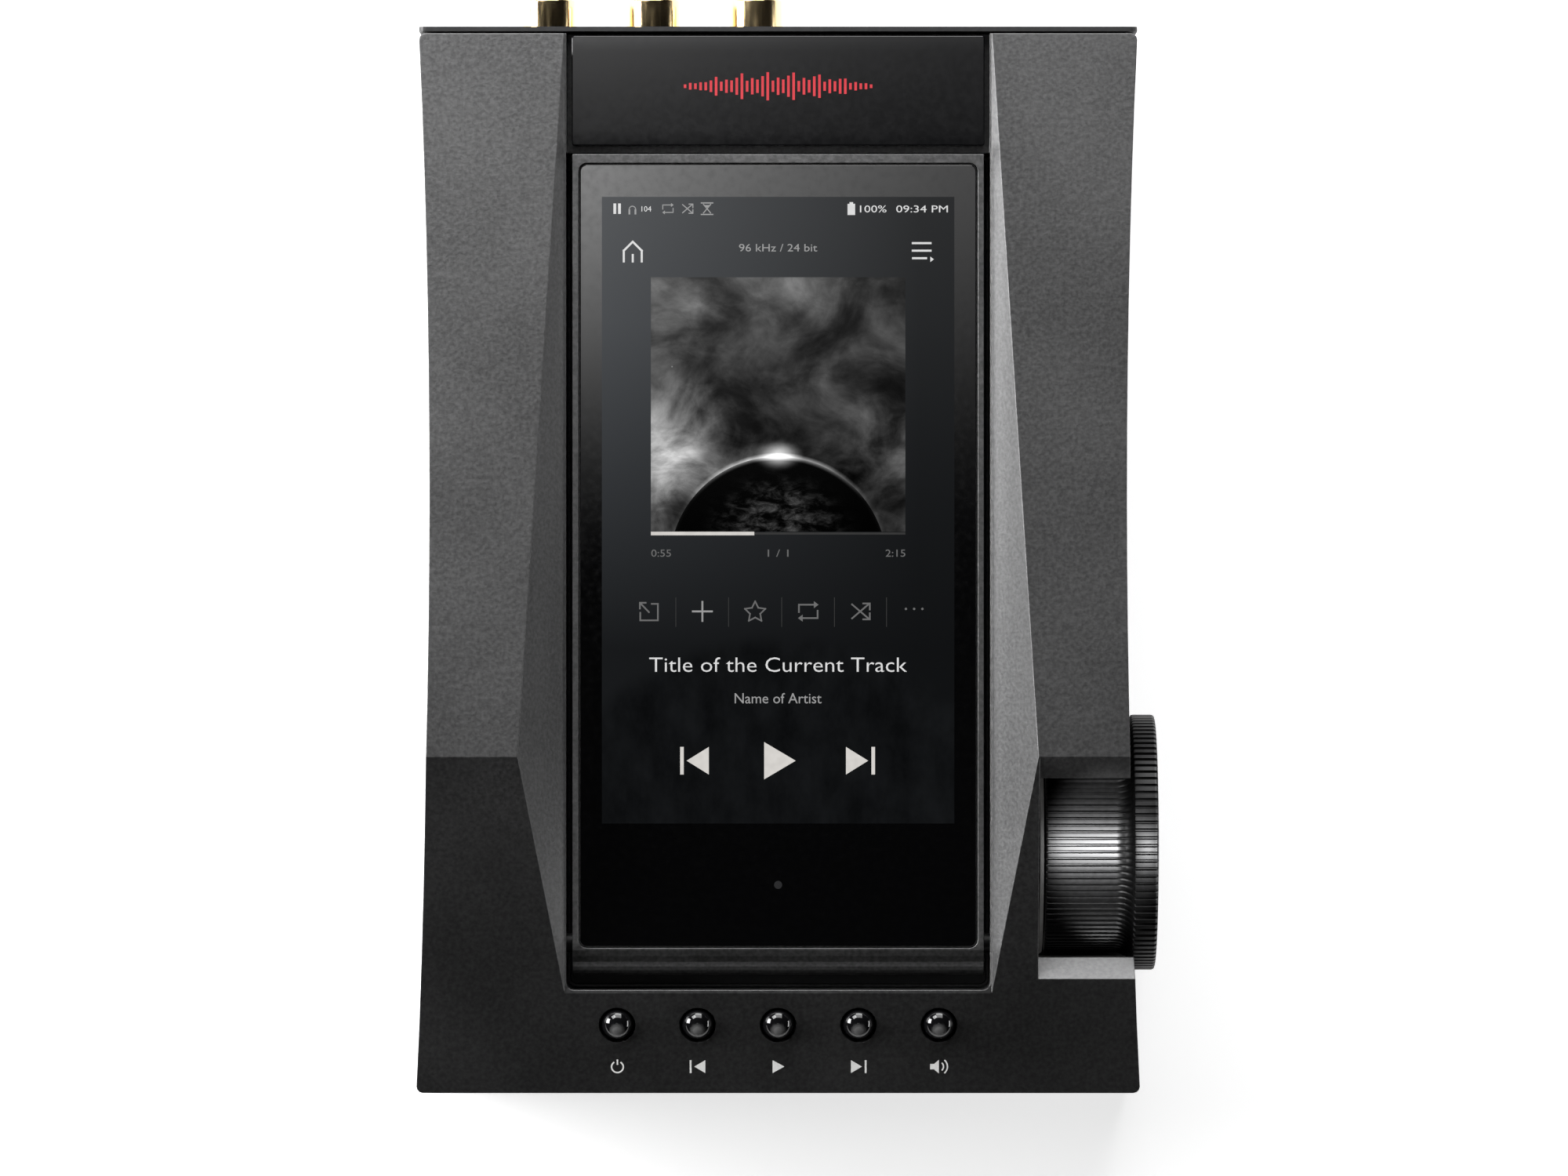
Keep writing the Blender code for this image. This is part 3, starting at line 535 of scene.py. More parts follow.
def refined(node, name, width, segments=3):
    """The CAD solid itself with its edges broken by a small round. Width 0 leaves that to the finish."""
    mesh = NODES[node].data.copy()
    if "custom_normal" in mesh.attributes:
        mesh.attributes.remove(mesh.attributes["custom_normal"])
    shape = bmesh.new()
    shape.from_mesh(mesh)
    bmesh.ops.remove_doubles(shape, verts=shape.verts, dist=2e-6)
    bmesh.ops.dissolve_limit(shape, angle_limit=math.radians(0.2), verts=shape.verts, edges=shape.edges)
    shape.to_mesh(mesh)
    shape.free()
    mesh.materials.clear()
    obj = placed(name, mesh)
    if not width:
        mesh.shade_smooth()
        mesh.set_sharp_from_angle(angle=math.radians(9))
        return stand_in(obj, node, smooth=0)
    edge = obj.modifiers.new("edges", "BEVEL")
    edge.width = width * MM
    edge.segments = segments
    edge.limit_method = "ANGLE"
    edge.angle_limit = math.radians(11)
    edge.use_clamp_overlap = False
    edge.miter_outer = "MITER_ARC"
    mesh.shade_smooth()
    mesh.set_sharp_from_angle(angle=math.radians(30))
    weighted = obj.modifiers.new("normals", "WEIGHTED_NORMAL")
    weighted.keep_sharp = True
    return stand_in(obj, node, smooth=0)


def softened(points, radius, steps=3):
    """Rounds the corners of a polyline of (u, v) points."""
    result = []
    for index, point in enumerate(points):
        if index in (0, len(points) - 1):
            result.append(point)
            continue
        here = Vector(point)
        before = Vector(points[index - 1])
        after = Vector(points[index + 1])
        cut = min(radius, (before - here).length * 0.45, (after - here).length * 0.45)
        start = here + (before - here).normalized() * cut
        end = here + (after - here).normalized() * cut
        for step in range(steps + 1):
            t = step / steps
            curve = start * (1 - t) ** 2 + here * 2 * t * (1 - t) + end * t * t
            result.append(tuple(curve))
    return result


def lathe(name, profile, place, axis, steps=64, shape_of=None, angles=None):
    """Turns (radius, along) points in mm about an axis. shape_of changes a radius by row, step and angle.
    angles replaces the even steps."""
    angles = angles or [2 * math.pi * step / steps for step in range(steps)]
    count = len(angles)
    turn = Vector((0, 0, 1)).rotation_difference(Vector(axis)).to_matrix().to_4x4()
    spot = Matrix.Translation(place) @ turn
    shape = bmesh.new()
    rows = []
    for row, (radius, along) in enumerate(profile):
        if radius < 1e-6:
            rows.append([shape.verts.new(spot @ Vector((0, 0, along * MM)))])
            continue
        ring = []
        for step, angle in enumerate(angles):
            r = shape_of(radius, row, step, angle) if shape_of else radius
            point = Vector((r * math.cos(angle), r * math.sin(angle), along)) * MM
            ring.append(shape.verts.new(spot @ point))
        rows.append(ring)
    for low, high in zip(rows, rows[1:]):
        for step in range(count):
            after = (step + 1) % count
            if len(low) == 1:
                shape.faces.new((low[0], high[step], high[after]))
            elif len(high) == 1:
                shape.faces.new((low[step], high[0], low[after]))
            else:
                shape.faces.new((low[step], high[step], high[after], low[after]))
    return from_bmesh(shape, name)


def round_rect(half_x, half_y, radius, steps=8):
    points = []
    for cx, cy, start in ((1, -1, -90), (1, 1, 0), (-1, 1, 90), (-1, -1, 180)):
        for step in range(steps + 1):
            angle = math.radians(start + 90 * step / steps)
            points.append((cx * (half_x - radius) + radius * math.cos(angle),
                           cy * (half_y - radius) + radius * math.sin(angle)))
    return points


def slab(name, low, high, radius, edge, lift=None):
    """A plate with round corners and softened edges, between two corners in metres. lift raises its top
    by y, in mm."""
    centre = (low + high) / 2
    half = (high - low) / 2 / MM
    rows = [(edge, low.z), (0.0, low.z + edge * MM)]
    for step in range(5):
        angle = math.pi / 2 * step / 4
        rows.append((edge * (1 - math.cos(angle)), high.z - edge * MM * (1 - math.sin(angle))))
    shape = bmesh.new()
    rings = []
    for inset, z in rows:
        ring = []
        for x, y in round_rect(half.x - inset, half.y - inset, max(radius - inset, 0.05)):
            rise = lift(y) * MM if lift and z > centre.z else 0.0
            ring.append(shape.verts.new((centre.x + x * MM, centre.y + y * MM, z + rise)))
        rings.append(ring)
    for lower, upper in zip(rings, rings[1:]):
        for index in range(len(lower)):
            after = (index + 1) % len(lower)
            shape.faces.new((lower[index], lower[after], upper[after], upper[index]))
    shape.faces.new(rings[0])
    top = shape.faces.new(rings[-1])
    if lift:
        bend_top(shape, top, centre, half, edge, lambda y: high.z + lift((y - centre.y) / MM) * MM)
    return from_bmesh(shape, name)


def bend_top(shape, top, centre, half, edge, level):
    """Slices a plate's top across and sets each slice to its level."""
    for index in range(1, CREST_SLICES):
        y = centre.y + half.y * MM * (2 * index / CREST_SLICES - 1)
        upward = [face for face in shape.faces if face.normal.z > 0.9 or face == top]
        bmesh.ops.bisect_plane(shape, geom=shape.verts[:] + shape.edges[:] + upward, plane_co=(0, y, 0),
                               plane_no=(0, 1, 0), dist=1e-7)
    reach = [(size - edge - 0.001) * MM for size in (half.x, half.y)]
    for vert in shape.verts:
        away = vert.co - centre
        if away.z > 0 and abs(away.x) < reach[0] and abs(away.y) < reach[1]:
            vert.co.z = level(vert.co.y)


class Flat:
    """Marks drawn in a plane, in mm, as one mesh."""

    def __init__(self):
        self.shape = bmesh.new()

    def poly(self, points):
        verts = [self.shape.verts.new((x, y, 0)) for x, y in points]
        self.shape.faces.new(verts)
        return self

    def rect(self, x, y, width, height):
        return self.poly([(x - width / 2, y - height / 2), (x + width / 2, y - height / 2),
                          (x + width / 2, y + height / 2), (x - width / 2, y + height / 2)])

    def line(self, points, width, closed=False):
        """A stroke with square corners."""
        pairs = list(zip(points, points[1:]))
        if closed:
            pairs.append((points[-1], points[0]))
        for start, end in pairs:
            a, b = Vector(start), Vector(end)
            along = (b - a).normalized() * width / 2
            side = Vector((-along.y, along.x))
            a = a - along
            b = b + along
            self.poly([tuple(a - side), tuple(b - side), tuple(b + side), tuple(a + side)])
        return self

    def arc(self, x, y, radius, width, start, end, steps=24):
        for step in range(steps):
            a0 = math.radians(start + (end - start) * step / steps)
            a1 = math.radians(start + (end - start) * (step + 1) / steps)
            inner, outer = radius - width / 2, radius + width / 2
            self.poly([(x + inner * math.cos(a0), y + inner * math.sin(a0)),
                       (x + outer * math.cos(a0), y + outer * math.sin(a0)),
                       (x + outer * math.cos(a1), y + outer * math.sin(a1)),
                       (x + inner * math.cos(a1), y + inner * math.sin(a1))])
        return self

    def disc(self, x, y, radius, steps=28):
        angles = [2 * math.pi * index / steps for index in range(steps)]
        return self.poly([(x + radius * math.cos(angle), y + radius * math.sin(angle)) for angle in angles])

    def text(self, words, x, y, height, width=None, thin=0.0):
        """Words centred on (x, y); height is that of a capital."""
        curve = bpy.data.curves.new("words", "FONT")
        curve.body = words
        curve.offset = thin
        curve.resolution_u = 3
        obj = placed("words", curve)
        graph = bpy.context.evaluated_depsgraph_get()
        mesh = bpy.data.meshes.new_from_object(obj.evaluated_get(graph))
        xs = [v.co.x for v in mesh.vertices]
        tall = height / CAPITAL
        wide = width / (max(xs) - min(xs)) if width else tall
        centre = (max(xs) + min(xs)) / 2
        for vert in mesh.vertices:
            vert.co = (x + (vert.co.x - centre) * wide, y + vert.co.y * tall - height / 2, 0)
        self.shape.from_mesh(mesh)
        bpy.data.objects.remove(obj)
        bpy.data.meshes.remove(mesh)
        bpy.data.curves.remove(curve)
        return self

    def made(self, name, place, material, node, slot):
        """Sets the marks down: place takes them from their plane, in mm, to the object."""
        mesh = bpy.data.meshes.new(name)
        for face in self.shape.faces:
            if face.normal.z < 0:
                face.normal_flip()
        self.shape.to_mesh(mesh)
        self.shape.free()
        mesh.transform(place @ Matrix.Diagonal((MM, MM, MM, 1)))
        mesh.materials.append(material)
        return finish_piece(placed(name, mesh), node, slot, smooth=0)


# -------- housing

def housing():
    refined("upper_housing", "housing_shell", 0)
    refined("base_plate", "base_shell", 0.25)
    refined("rear_panel", "rear_plate", 0)
    refined("optical_port", "optical_socket", 0.1, 2)
    refined("card_slot", "card_reader", 0.06, 2)
    refined("usb_c_port_charge", "usb_shell_charge", 0.08, 2)
    refined("usb_c_port_data", "usb_shell_data", 0.08, 2)
    refined("well_tray", "well_floor", 0.15, 2)


def crest():
    """The black crest panel is very slightly domed from front to rear, with a lit level display behind it."""
    low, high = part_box("crest_panel")
    half = (high.y - low.y) / 2 / MM

    def dome(y):
        return -CREST_TILT * (half - y) - CREST_CURVE * (half - y) ** 2

    panel = slab("crest_glass", low, high, 0.35, 0.15, dome)
    stand_in(panel, "crest_panel", smooth=4)
    marks = Flat()
    last = (BAR_COUNT - 1) / 2
    for index in range(BAR_COUNT):
        share = abs(index - last) / last
        swing = 0.55 + 0.45 * math.sin(index * 1.9) * math.sin(index * 0.63 + 1)
        tall = BAR_SHORTEST + (BAR_LONGEST - BAR_SHORTEST) * (1 - share ** 2.2) * swing
        marks.rect((index - last) * BAR_PITCH, 0, BAR_WIDTH, tall)
    place = Matrix.Translation((middle("crest_panel").x, (low.y + high.y) / 2 + 0.6 * MM, high.z + 0.03 * MM))
    lit = glowing("crest_lamp", (0.86, 0.07, 0.09), 0.93)
    marks.made("crest_level_bars", place, lit, "crest_panel", "gloss_black")


def drop(x, y, node):
    """The point and normal of a CAD node's surface straight below (x, y)."""
    mesh = NODES[node].data
    tree = BVHTree.FromPolygons([v.co for v in mesh.vertices], [p.vertices for p in mesh.polygons])
    point, normal, _, _ = tree.ray_cast(Vector((x, y, 1.0)), Vector((0, 0, -1)))
    return point, normal


def triangle(marks, x, y, width, height, direction=1):
    base = x - direction * width / 2
    return marks.poly([(base, y - height / 2), (base, y + height / 2), (x + direction * width / 2, y)])


def on_facet(x, y):
    """Takes marks drawn about (0, 0) to the sloping facet at (x, y)."""
    point, normal = drop(x, y, "upper_housing")
    up = (Vector((0, 1, 0)) - normal * normal.y).normalized()
    right = up.cross(normal)
    turn = Matrix((right, up, normal)).transposed().to_4x4()
    return Matrix.Translation(point + normal * 0.015 * MM) @ turn


def button_marks():
    """Ink symbols with a painted glow in front of the buttons: power, back, play, forward and a loudspeaker.
    """
    ink = ink_with_painted_glow("ink", 0.62)
    front = middle("button_play").y - ICON_DISTANCE * MM
    tall = ICON_HALF * 2
    for kind in ("power", "previous", "play", "next", "amp"):
        x = middle("button_" + kind).x
        marks = Flat()
        if kind == "power":
            marks.arc(0, -0.05, 0.82, 0.22, 122, 418, 28)
            marks.rect(0, 0.65, 0.22, 0.8)
        elif kind == "previous":
            marks.rect(-1.0, 0, 0.26, tall)
            triangle(marks, 0.28, 0, 1.55, tall, -1)
        elif kind == "play":
            triangle(marks, 0.05, 0, 1.65, tall)
        elif kind == "next":
            marks.rect(1.0, 0, 0.26, tall)
            triangle(marks, -0.28, 0, 1.55, tall)
        else:
            marks.rect(-0.95, 0, 0.55, 0.8)
            marks.poly([(-0.68, -0.4), (0.0, -1.0), (0.0, 1.0), (-0.68, 0.4)])
            marks.arc(-0.1, 0, 0.75, 0.2, -48, 48, 10)
            marks.arc(-0.1, 0, 1.3, 0.2, -48, 48, 12)
        marks.made("mark_" + kind, on_facet(x, front), ink, "upper_housing", "housing_metal")


def feet():
    for number in range(1, 5):
        node = f"foot_{number}"
        low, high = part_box(node)
        rim = (high.x - low.x) / 2 / MM
        tall = (high.z - low.z) / MM
        groove = [(rim - 1.1, 0), (rim - 1.3, 0.25), (rim - 1.7, 0.25), (rim - 1.9, 0)]
        profile = [(0, tall), (rim, tall), (rim, 0)] + groove + [(0, 0)]
        place = (middle(node).x, middle(node).y, low.z)
        foot = lathe(f"foot_pad_{number}", softened(profile, 0.3), place, (0, 0, 1))
        stand_in(foot, node)


def hexagon(radius, angle):
    """The radius of a hexagon at an angle."""
    sixth = math.pi / 3
    return radius * math.cos(sixth / 2) / math.cos((angle % sixth) - sixth / 2)


def screws():
    """Machine screws with a hexagon socket: raised heads below, sunk ones at the rear."""
    for prefix, axis in (("base_screw", (0, 0, -1)), ("rear_screw", (0, 1, 0))):
        for number in range(1, 5):
            node = f"{prefix}_{number}"
            low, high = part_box(node)
            mid = middle(node)
            head = (high.x - low.x) / 2 / MM
            if axis[1]:
                face, length = Vector((mid.x, high.y, mid.z)), (high.y - low.y) / MM
            else:
                face, length = Vector((mid.x, mid.y, low.z)), (high.z - low.z) / MM
            shank = head * 0.48
            key = head * 0.45
            neck, rim = (1.0, 0.1) if axis[1] else (0.9, 0.6)
            outside = [(0, -length), (shank, -length), (shank, -neck), (head, -rim), (head, 0)]
            outside = softened(outside, 0.05 if axis[1] else 0.18)
            inside = [(key + 0.05, 0), (key, -0.06), (key, -0.5), (0, -0.55)]

            def keyed(radius, row, step, angle, first=len(outside)):
                return hexagon(radius, angle) if row >= first else radius

            screw = lathe(node + "_turned", outside + inside, face, axis, 48, keyed)
            stand_in(screw, node)


def phono_sockets():
    """Gold barrels, each with a coloured insulator round a sprung contact."""
    for suffix in ("coaxial", "left", "right"):
        shell, plug = "rca_shell_" + suffix, "rca_insulator_" + suffix
        low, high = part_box(shell)
        mid = middle(shell)
        rim = (high.x - low.x) / 2 / MM
        tip, root = high.y / MM, low.y / MM
        floor = tip - PHONO_DEPTH
        profile = [(0, floor), (PHONO_BORE, floor), (PHONO_BORE, tip), (rim, tip), (rim, root), (0, root)]
        profile = softened(profile, 0.42, 5)
        barrel = turned_along_y("phono_barrel_" + suffix, profile, mid, 72)
        stand_in(barrel, shell)
        low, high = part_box(plug)
        face, back = high.y / MM, low.y / MM
        outer = (high.x - low.x) / 2 / MM
        hole = [(0, face - 6), (1.6, face - 6), (1.6, face - 0.3), (1.9, face - 0.3), (1.9, face)]
        profile = hole + [(outer, face), (outer, back), (0, back)]
        ring = turned_along_y("phono_ring_" + suffix, softened(profile, 0.15, 3), mid, 56)
        stand_in(ring, plug)
        spring = [(1.55, face - 5.5), (1.55, face - 0.6), (1.25, face - 0.6), (1.25, face - 5.5)]
        contact = turned_along_y("phono_contact_" + suffix, spring, mid, 32)
        finish_piece(contact, shell)


def phone_sockets():
    """Sockets in the front face: a dished black collar round a metal-lined bore."""
    for size, bore in PHONE_BORES.items():
        node = "phone_jack_" + size
        low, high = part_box(node)
        mid = middle(node)
        barrel = (high.x - low.x) / 2 / MM
        front, back = low.y / MM, high.y / MM
        end = front + PHONE_DEPTH
        profile = [(0, end), (bore, end), (bore, front + 0.5), (bore + 0.35, front + 0.1),
                   (bore + 0.9, front + 0.1), (bore + 1.1, front), (barrel, front), (barrel, back), (0, back)]
        collar = turned_along_y("phone_collar_" + size, softened(profile, 0.2, 3), mid, 64)
        stand_in(collar, node)
        liner = [(bore - 0.03, front + 0.6), (bore - 0.03, front + 5), (bore - 0.16, front + 5),
                 (bore - 0.16, front + 0.6), (bore - 0.03, front + 0.6)]
        ring = turned_along_y("phone_liner_" + size, liner, mid, 48)
        finish_piece(ring, node, "gold")


# -------- volume wheel

def volume_wheel():
    """A drum with straight knurling that runs up a hollow round onto the flange, and a dished outer face.
    Each row is a radius, a place along X and how deep the knurling is there."""
    low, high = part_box("volume_wheel")
    mid = middle("volume_wheel")
    rim = (high.z - low.z) / 2 / MM
    inner, outer = low.x / MM, high.x / MM
    drum = rim - FILLET
    flange = outer - FLANGE_WIDTH
    face = outer - 0.3
    dish = [(0, face - 0.12), (4.0, face - 0.12), (DISH_RADIUS, face), (DISH_RADIUS + 0.3, face)]
    dish = softened(dish + [(DISH_RADIUS + 0.55, outer - 0.02)], 0.12, 2)
    rows = [(radius, x, 0.0) for radius, x in dish]
    rows += [(rim - 0.42, outer, 0.0), (rim - 0.18, outer - 0.08, 0.35), (rim - 0.02, outer - 0.3, 1.0)]
    rows += [(rim, outer - 0.5, 1.0), (rim, flange + 0.35, 1.0), (rim - 0.06, flange + 0.1, 1.0)]
    for step in range(1, FILLET_STEPS + 1):
        angle = math.pi / 2 * (1 + step / FILLET_STEPS)
        depth = 1 - 0.8 * math.sin(math.pi * step / FILLET_STEPS)
        rows.append((rim + FILLET * math.cos(angle), flange - FILLET + FILLET * math.sin(angle), depth))
    rows += [(drum, inner + 0.5, 1.0), (drum - 0.06, inner + 0.22, 0.8), (drum - 0.25, inner + 0.02, 0.0)]
    floor, seat, bottom = inner + HOLLOW_DEPTH, inner + HUB_DEPTH, inner + HUB_BORE_DEPTH
    hollow = [(drum - 0.5, inner), (HOLLOW_RADIUS + 0.1, inner), (HOLLOW_RADIUS, inner + 0.1),
              (HOLLOW_RADIUS, floor), (HUB_RADIUS, floor), (HUB_RADIUS, seat), (HUB_BORE, seat),
              (HUB_BORE, bottom), (0, bottom)]
    rows += [(radius, x, 0.0) for radius, x in hollow]

    def knurled(radius, row, step, angle):
        return radius - RIDGE_DEPTH * rows[row][2] * RIDGE_SHAPE[step % len(RIDGE_SHAPE)][1]

    angles = [2 * math.pi * (ridge + share) / RIDGES for ridge in range(RIDGES) for share, _ in RIDGE_SHAPE]
    profile = [(radius, x) for radius, x, _ in rows]
    shape = lathe("knurled_wheel", profile, (0, mid.y, mid.z), (1, 0, 0), shape_of=knurled, angles=angles)
    stand_in(shape, "volume_wheel", smooth=20)


def wheel_seat():
    """The ring of light behind the drum."""
    low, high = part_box("wheel_light_ring")
    mid = middle("wheel_light_ring")
    rim = (high.z - low.z) / 2 / MM
    back, face = low.x / MM, high.x / MM
    profile = [(13.4, back), (13.4, face), (rim - 0.3, face), (rim, back), (13.4, back)]
    ring = lathe("wheel_light", profile, (0, mid.y, mid.z), (1, 0, 0), 96)
    lamp = Nodes("wheel_lamp")
    glimmer = lamp.noise(700, 2.0)
    lamp.set(Base_Color=lamp.mix(1.0, (0.25, 0.25, 0.245), lamp.spread(glimmer, 0.9, 1.1), "MULTIPLY"))
    lamp.set(Roughness=0.35, Emission_Color=(1.0, 0.98, 0.95), Emission_Strength=0.02)
    ring.data.materials.append(lamp.material)
    stand_in(ring, "wheel_light_ring")


# -------- buttons

def painted_reflection_cap(name):
    """Polished black with a painted grey reflection on a rougher crown, where the mesh says so."""
    made = Nodes(name)
    crown = made.split(made.add("Attribute", attribute_name="crown").outputs["Color"])[0]
    fine = made.noise(1600, 2.0)
    grey = made.mix(1.0, (PAINTED_REFLECTION_GREY,) * 3, made.spread(fine, 0.9, 1.1), "MULTIPLY")
    made.set(Base_Color=made.mix(crown, BLACK_GLOSS, grey), Specular_IOR_Level=0.6)
    made.set(Roughness=made.plus(made.spread(fine, 0.05, 0.07), made.times(crown, 0.3)))
    return made.material


def buttons():
    """Five polished domes, each with a painted grey reflection on its crown, that stand in dark wells. Each
    one leans with the facet.
    """
    cap_material = painted_reflection_cap("cap_gloss")
    sphere = (BUTTON_RADIUS ** 2 + BUTTON_DOME ** 2) / (2 * BUTTON_DOME)
    reach = math.asin(BUTTON_RADIUS / sphere)
    angles = [reach * step / 14 for step in range(15)]
    dome = [(sphere * math.sin(angle), sphere * (math.cos(angle) - 1)) for angle in angles]
    dome += [(BUTTON_RADIUS, -BUTTON_DOME - 0.25), (BUTTON_RADIUS, -BUTTON_SKIRT), (0, -BUTTON_SKIRT)]
    for joint in frame["joints"]:
        if not joint["name"].startswith("press_"):
            continue
        kind = joint["name"][6:]
        node = "button_" + kind
        normal = -Vector(joint["axis"]).normalized()
        top = max((v.co for v in NODES[node].data.vertices), key=lambda p: p.dot(normal))
        crown = Vector((middle(node).x, top.y, top.z))
        crown = crown + normal * ((top - crown).dot(normal))
        cap = lathe("cap_" + kind, dome, crown, normal)
        # The crown attribute marks where the painted grey reflection lies on the dome.
        share = cap.data.color_attributes.new(name="crown", type="FLOAT_COLOR", domain="POINT")
        centre = crown - Vector((0, PAINTED_REFLECTION_OFFSET * MM, 0))
        for vert, colour in zip(cap.data.vertices, share.data):
            away = (vert.co - centre).cross(normal).length / MM
            level = min(1.0, max(0.0, (PAINTED_REFLECTION_RADIUS - away) / PAINTED_REFLECTION_BLUR))
            colour.color = (level, level, level, 1.0)
        cap.data.materials.append(cap_material)
        stand_in(cap, node, smooth=40)


# -------- display

def display():
    refined("display_frame", "display_bezel", 0.04).data.materials[0] = DISPLAY_METAL
    refined("display_back_cover", "display_lid", 0.15, 2)
    low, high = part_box("cover_glass")
    pane = slab("glass_pane", low, high, 0.9, 0.08)
    stand_in(pane, "cover_glass", smooth=4)
    for side in ("left", "right"):
        for node, name in (("hinge_pin_" + side, "tilt_pin_"), ("hinge_bush_" + side, "tilt_bush_")):
            low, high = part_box(node)
            mid = middle(node)
            rim = (high.z - low.z) / 2 / MM
            bore = 1.7 if "bush" in node else 0
            start, end = low.x / MM, high.x / MM
            profile = [(bore, start), (rim, start), (rim, end), (bore, end)]
            profile += [(bore, start)] if bore else []
            piece = lathe(name + side, softened(profile, 0.15, 2), (0, mid.y, mid.z), (1, 0, 0), 40)
            stand_in(piece, node, "black_plastic")


def screen_place(lift):
    low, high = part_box("cover_glass")
    return Matrix.Translation(((low.x + high.x) / 2, high.y - PICTURE_MARGIN * MM, high.z + lift * MM))


def uv_sheet(name, left, right, top, bottom, lift, material):
    """A flat sheet on the glass whose UV runs 0 to 1."""
    mesh = bpy.data.meshes.new(name)
    corners = [(left, -bottom, 0), (right, -bottom, 0), (right, -top, 0), (left, -top, 0)]
    mesh.from_pydata(corners, [], [(0, 1, 2, 3)])
    layer = mesh.uv_layers.new(name="UVMap")
    for loop, uv in zip(layer.data, ((0, 0), (1, 0), (1, 1), (0, 1))):
        loop.uv = uv
    mesh.transform(screen_place(lift) @ Matrix.Diagonal((MM, MM, MM, 1)))
    mesh.materials.append(material)
    return finish_piece(placed(name, mesh), "cover_glass", "screen", smooth=0)


def repeat_icon(marks, x, y, size, width):
    half, tall = size, size * 0.72
    marks.line([(x - half, y - tall * 0.1), (x - half, y + tall), (x + half * 0.6, y + tall)], width)
    marks.line([(x + half, y + tall * 0.1), (x + half, y - tall), (x - half * 0.6, y - tall)], width)
    triangle(marks, x + half * 0.85, y + tall, size * 0.5, size * 0.75)
    triangle(marks, x - half * 0.85, y - tall, size * 0.5, size * 0.75, -1)


def shuffle_icon(marks, x, y, size, width):
    for sign in (1, -1):
        marks.line([(x - size, y - sign * size * 0.75), (x + size * 0.75, y + sign * size * 0.75)], width)
        marks.line([(x + size * 0.2, y + sign * size * 0.85), (x + size * 0.9, y + sign * size * 0.85),
                    (x + size * 0.9, y + sign * size * 0.2)], width)


def star_icon(marks, x, y, size, width):
    points = []
    for index in range(10):
        radius = size if index % 2 == 0 else size * 0.5
        angle = math.pi / 2 + index * math.pi / 5
        points.append((x + radius * math.cos(angle), y + radius * math.sin(angle)))
    marks.line(points, width, closed=True)


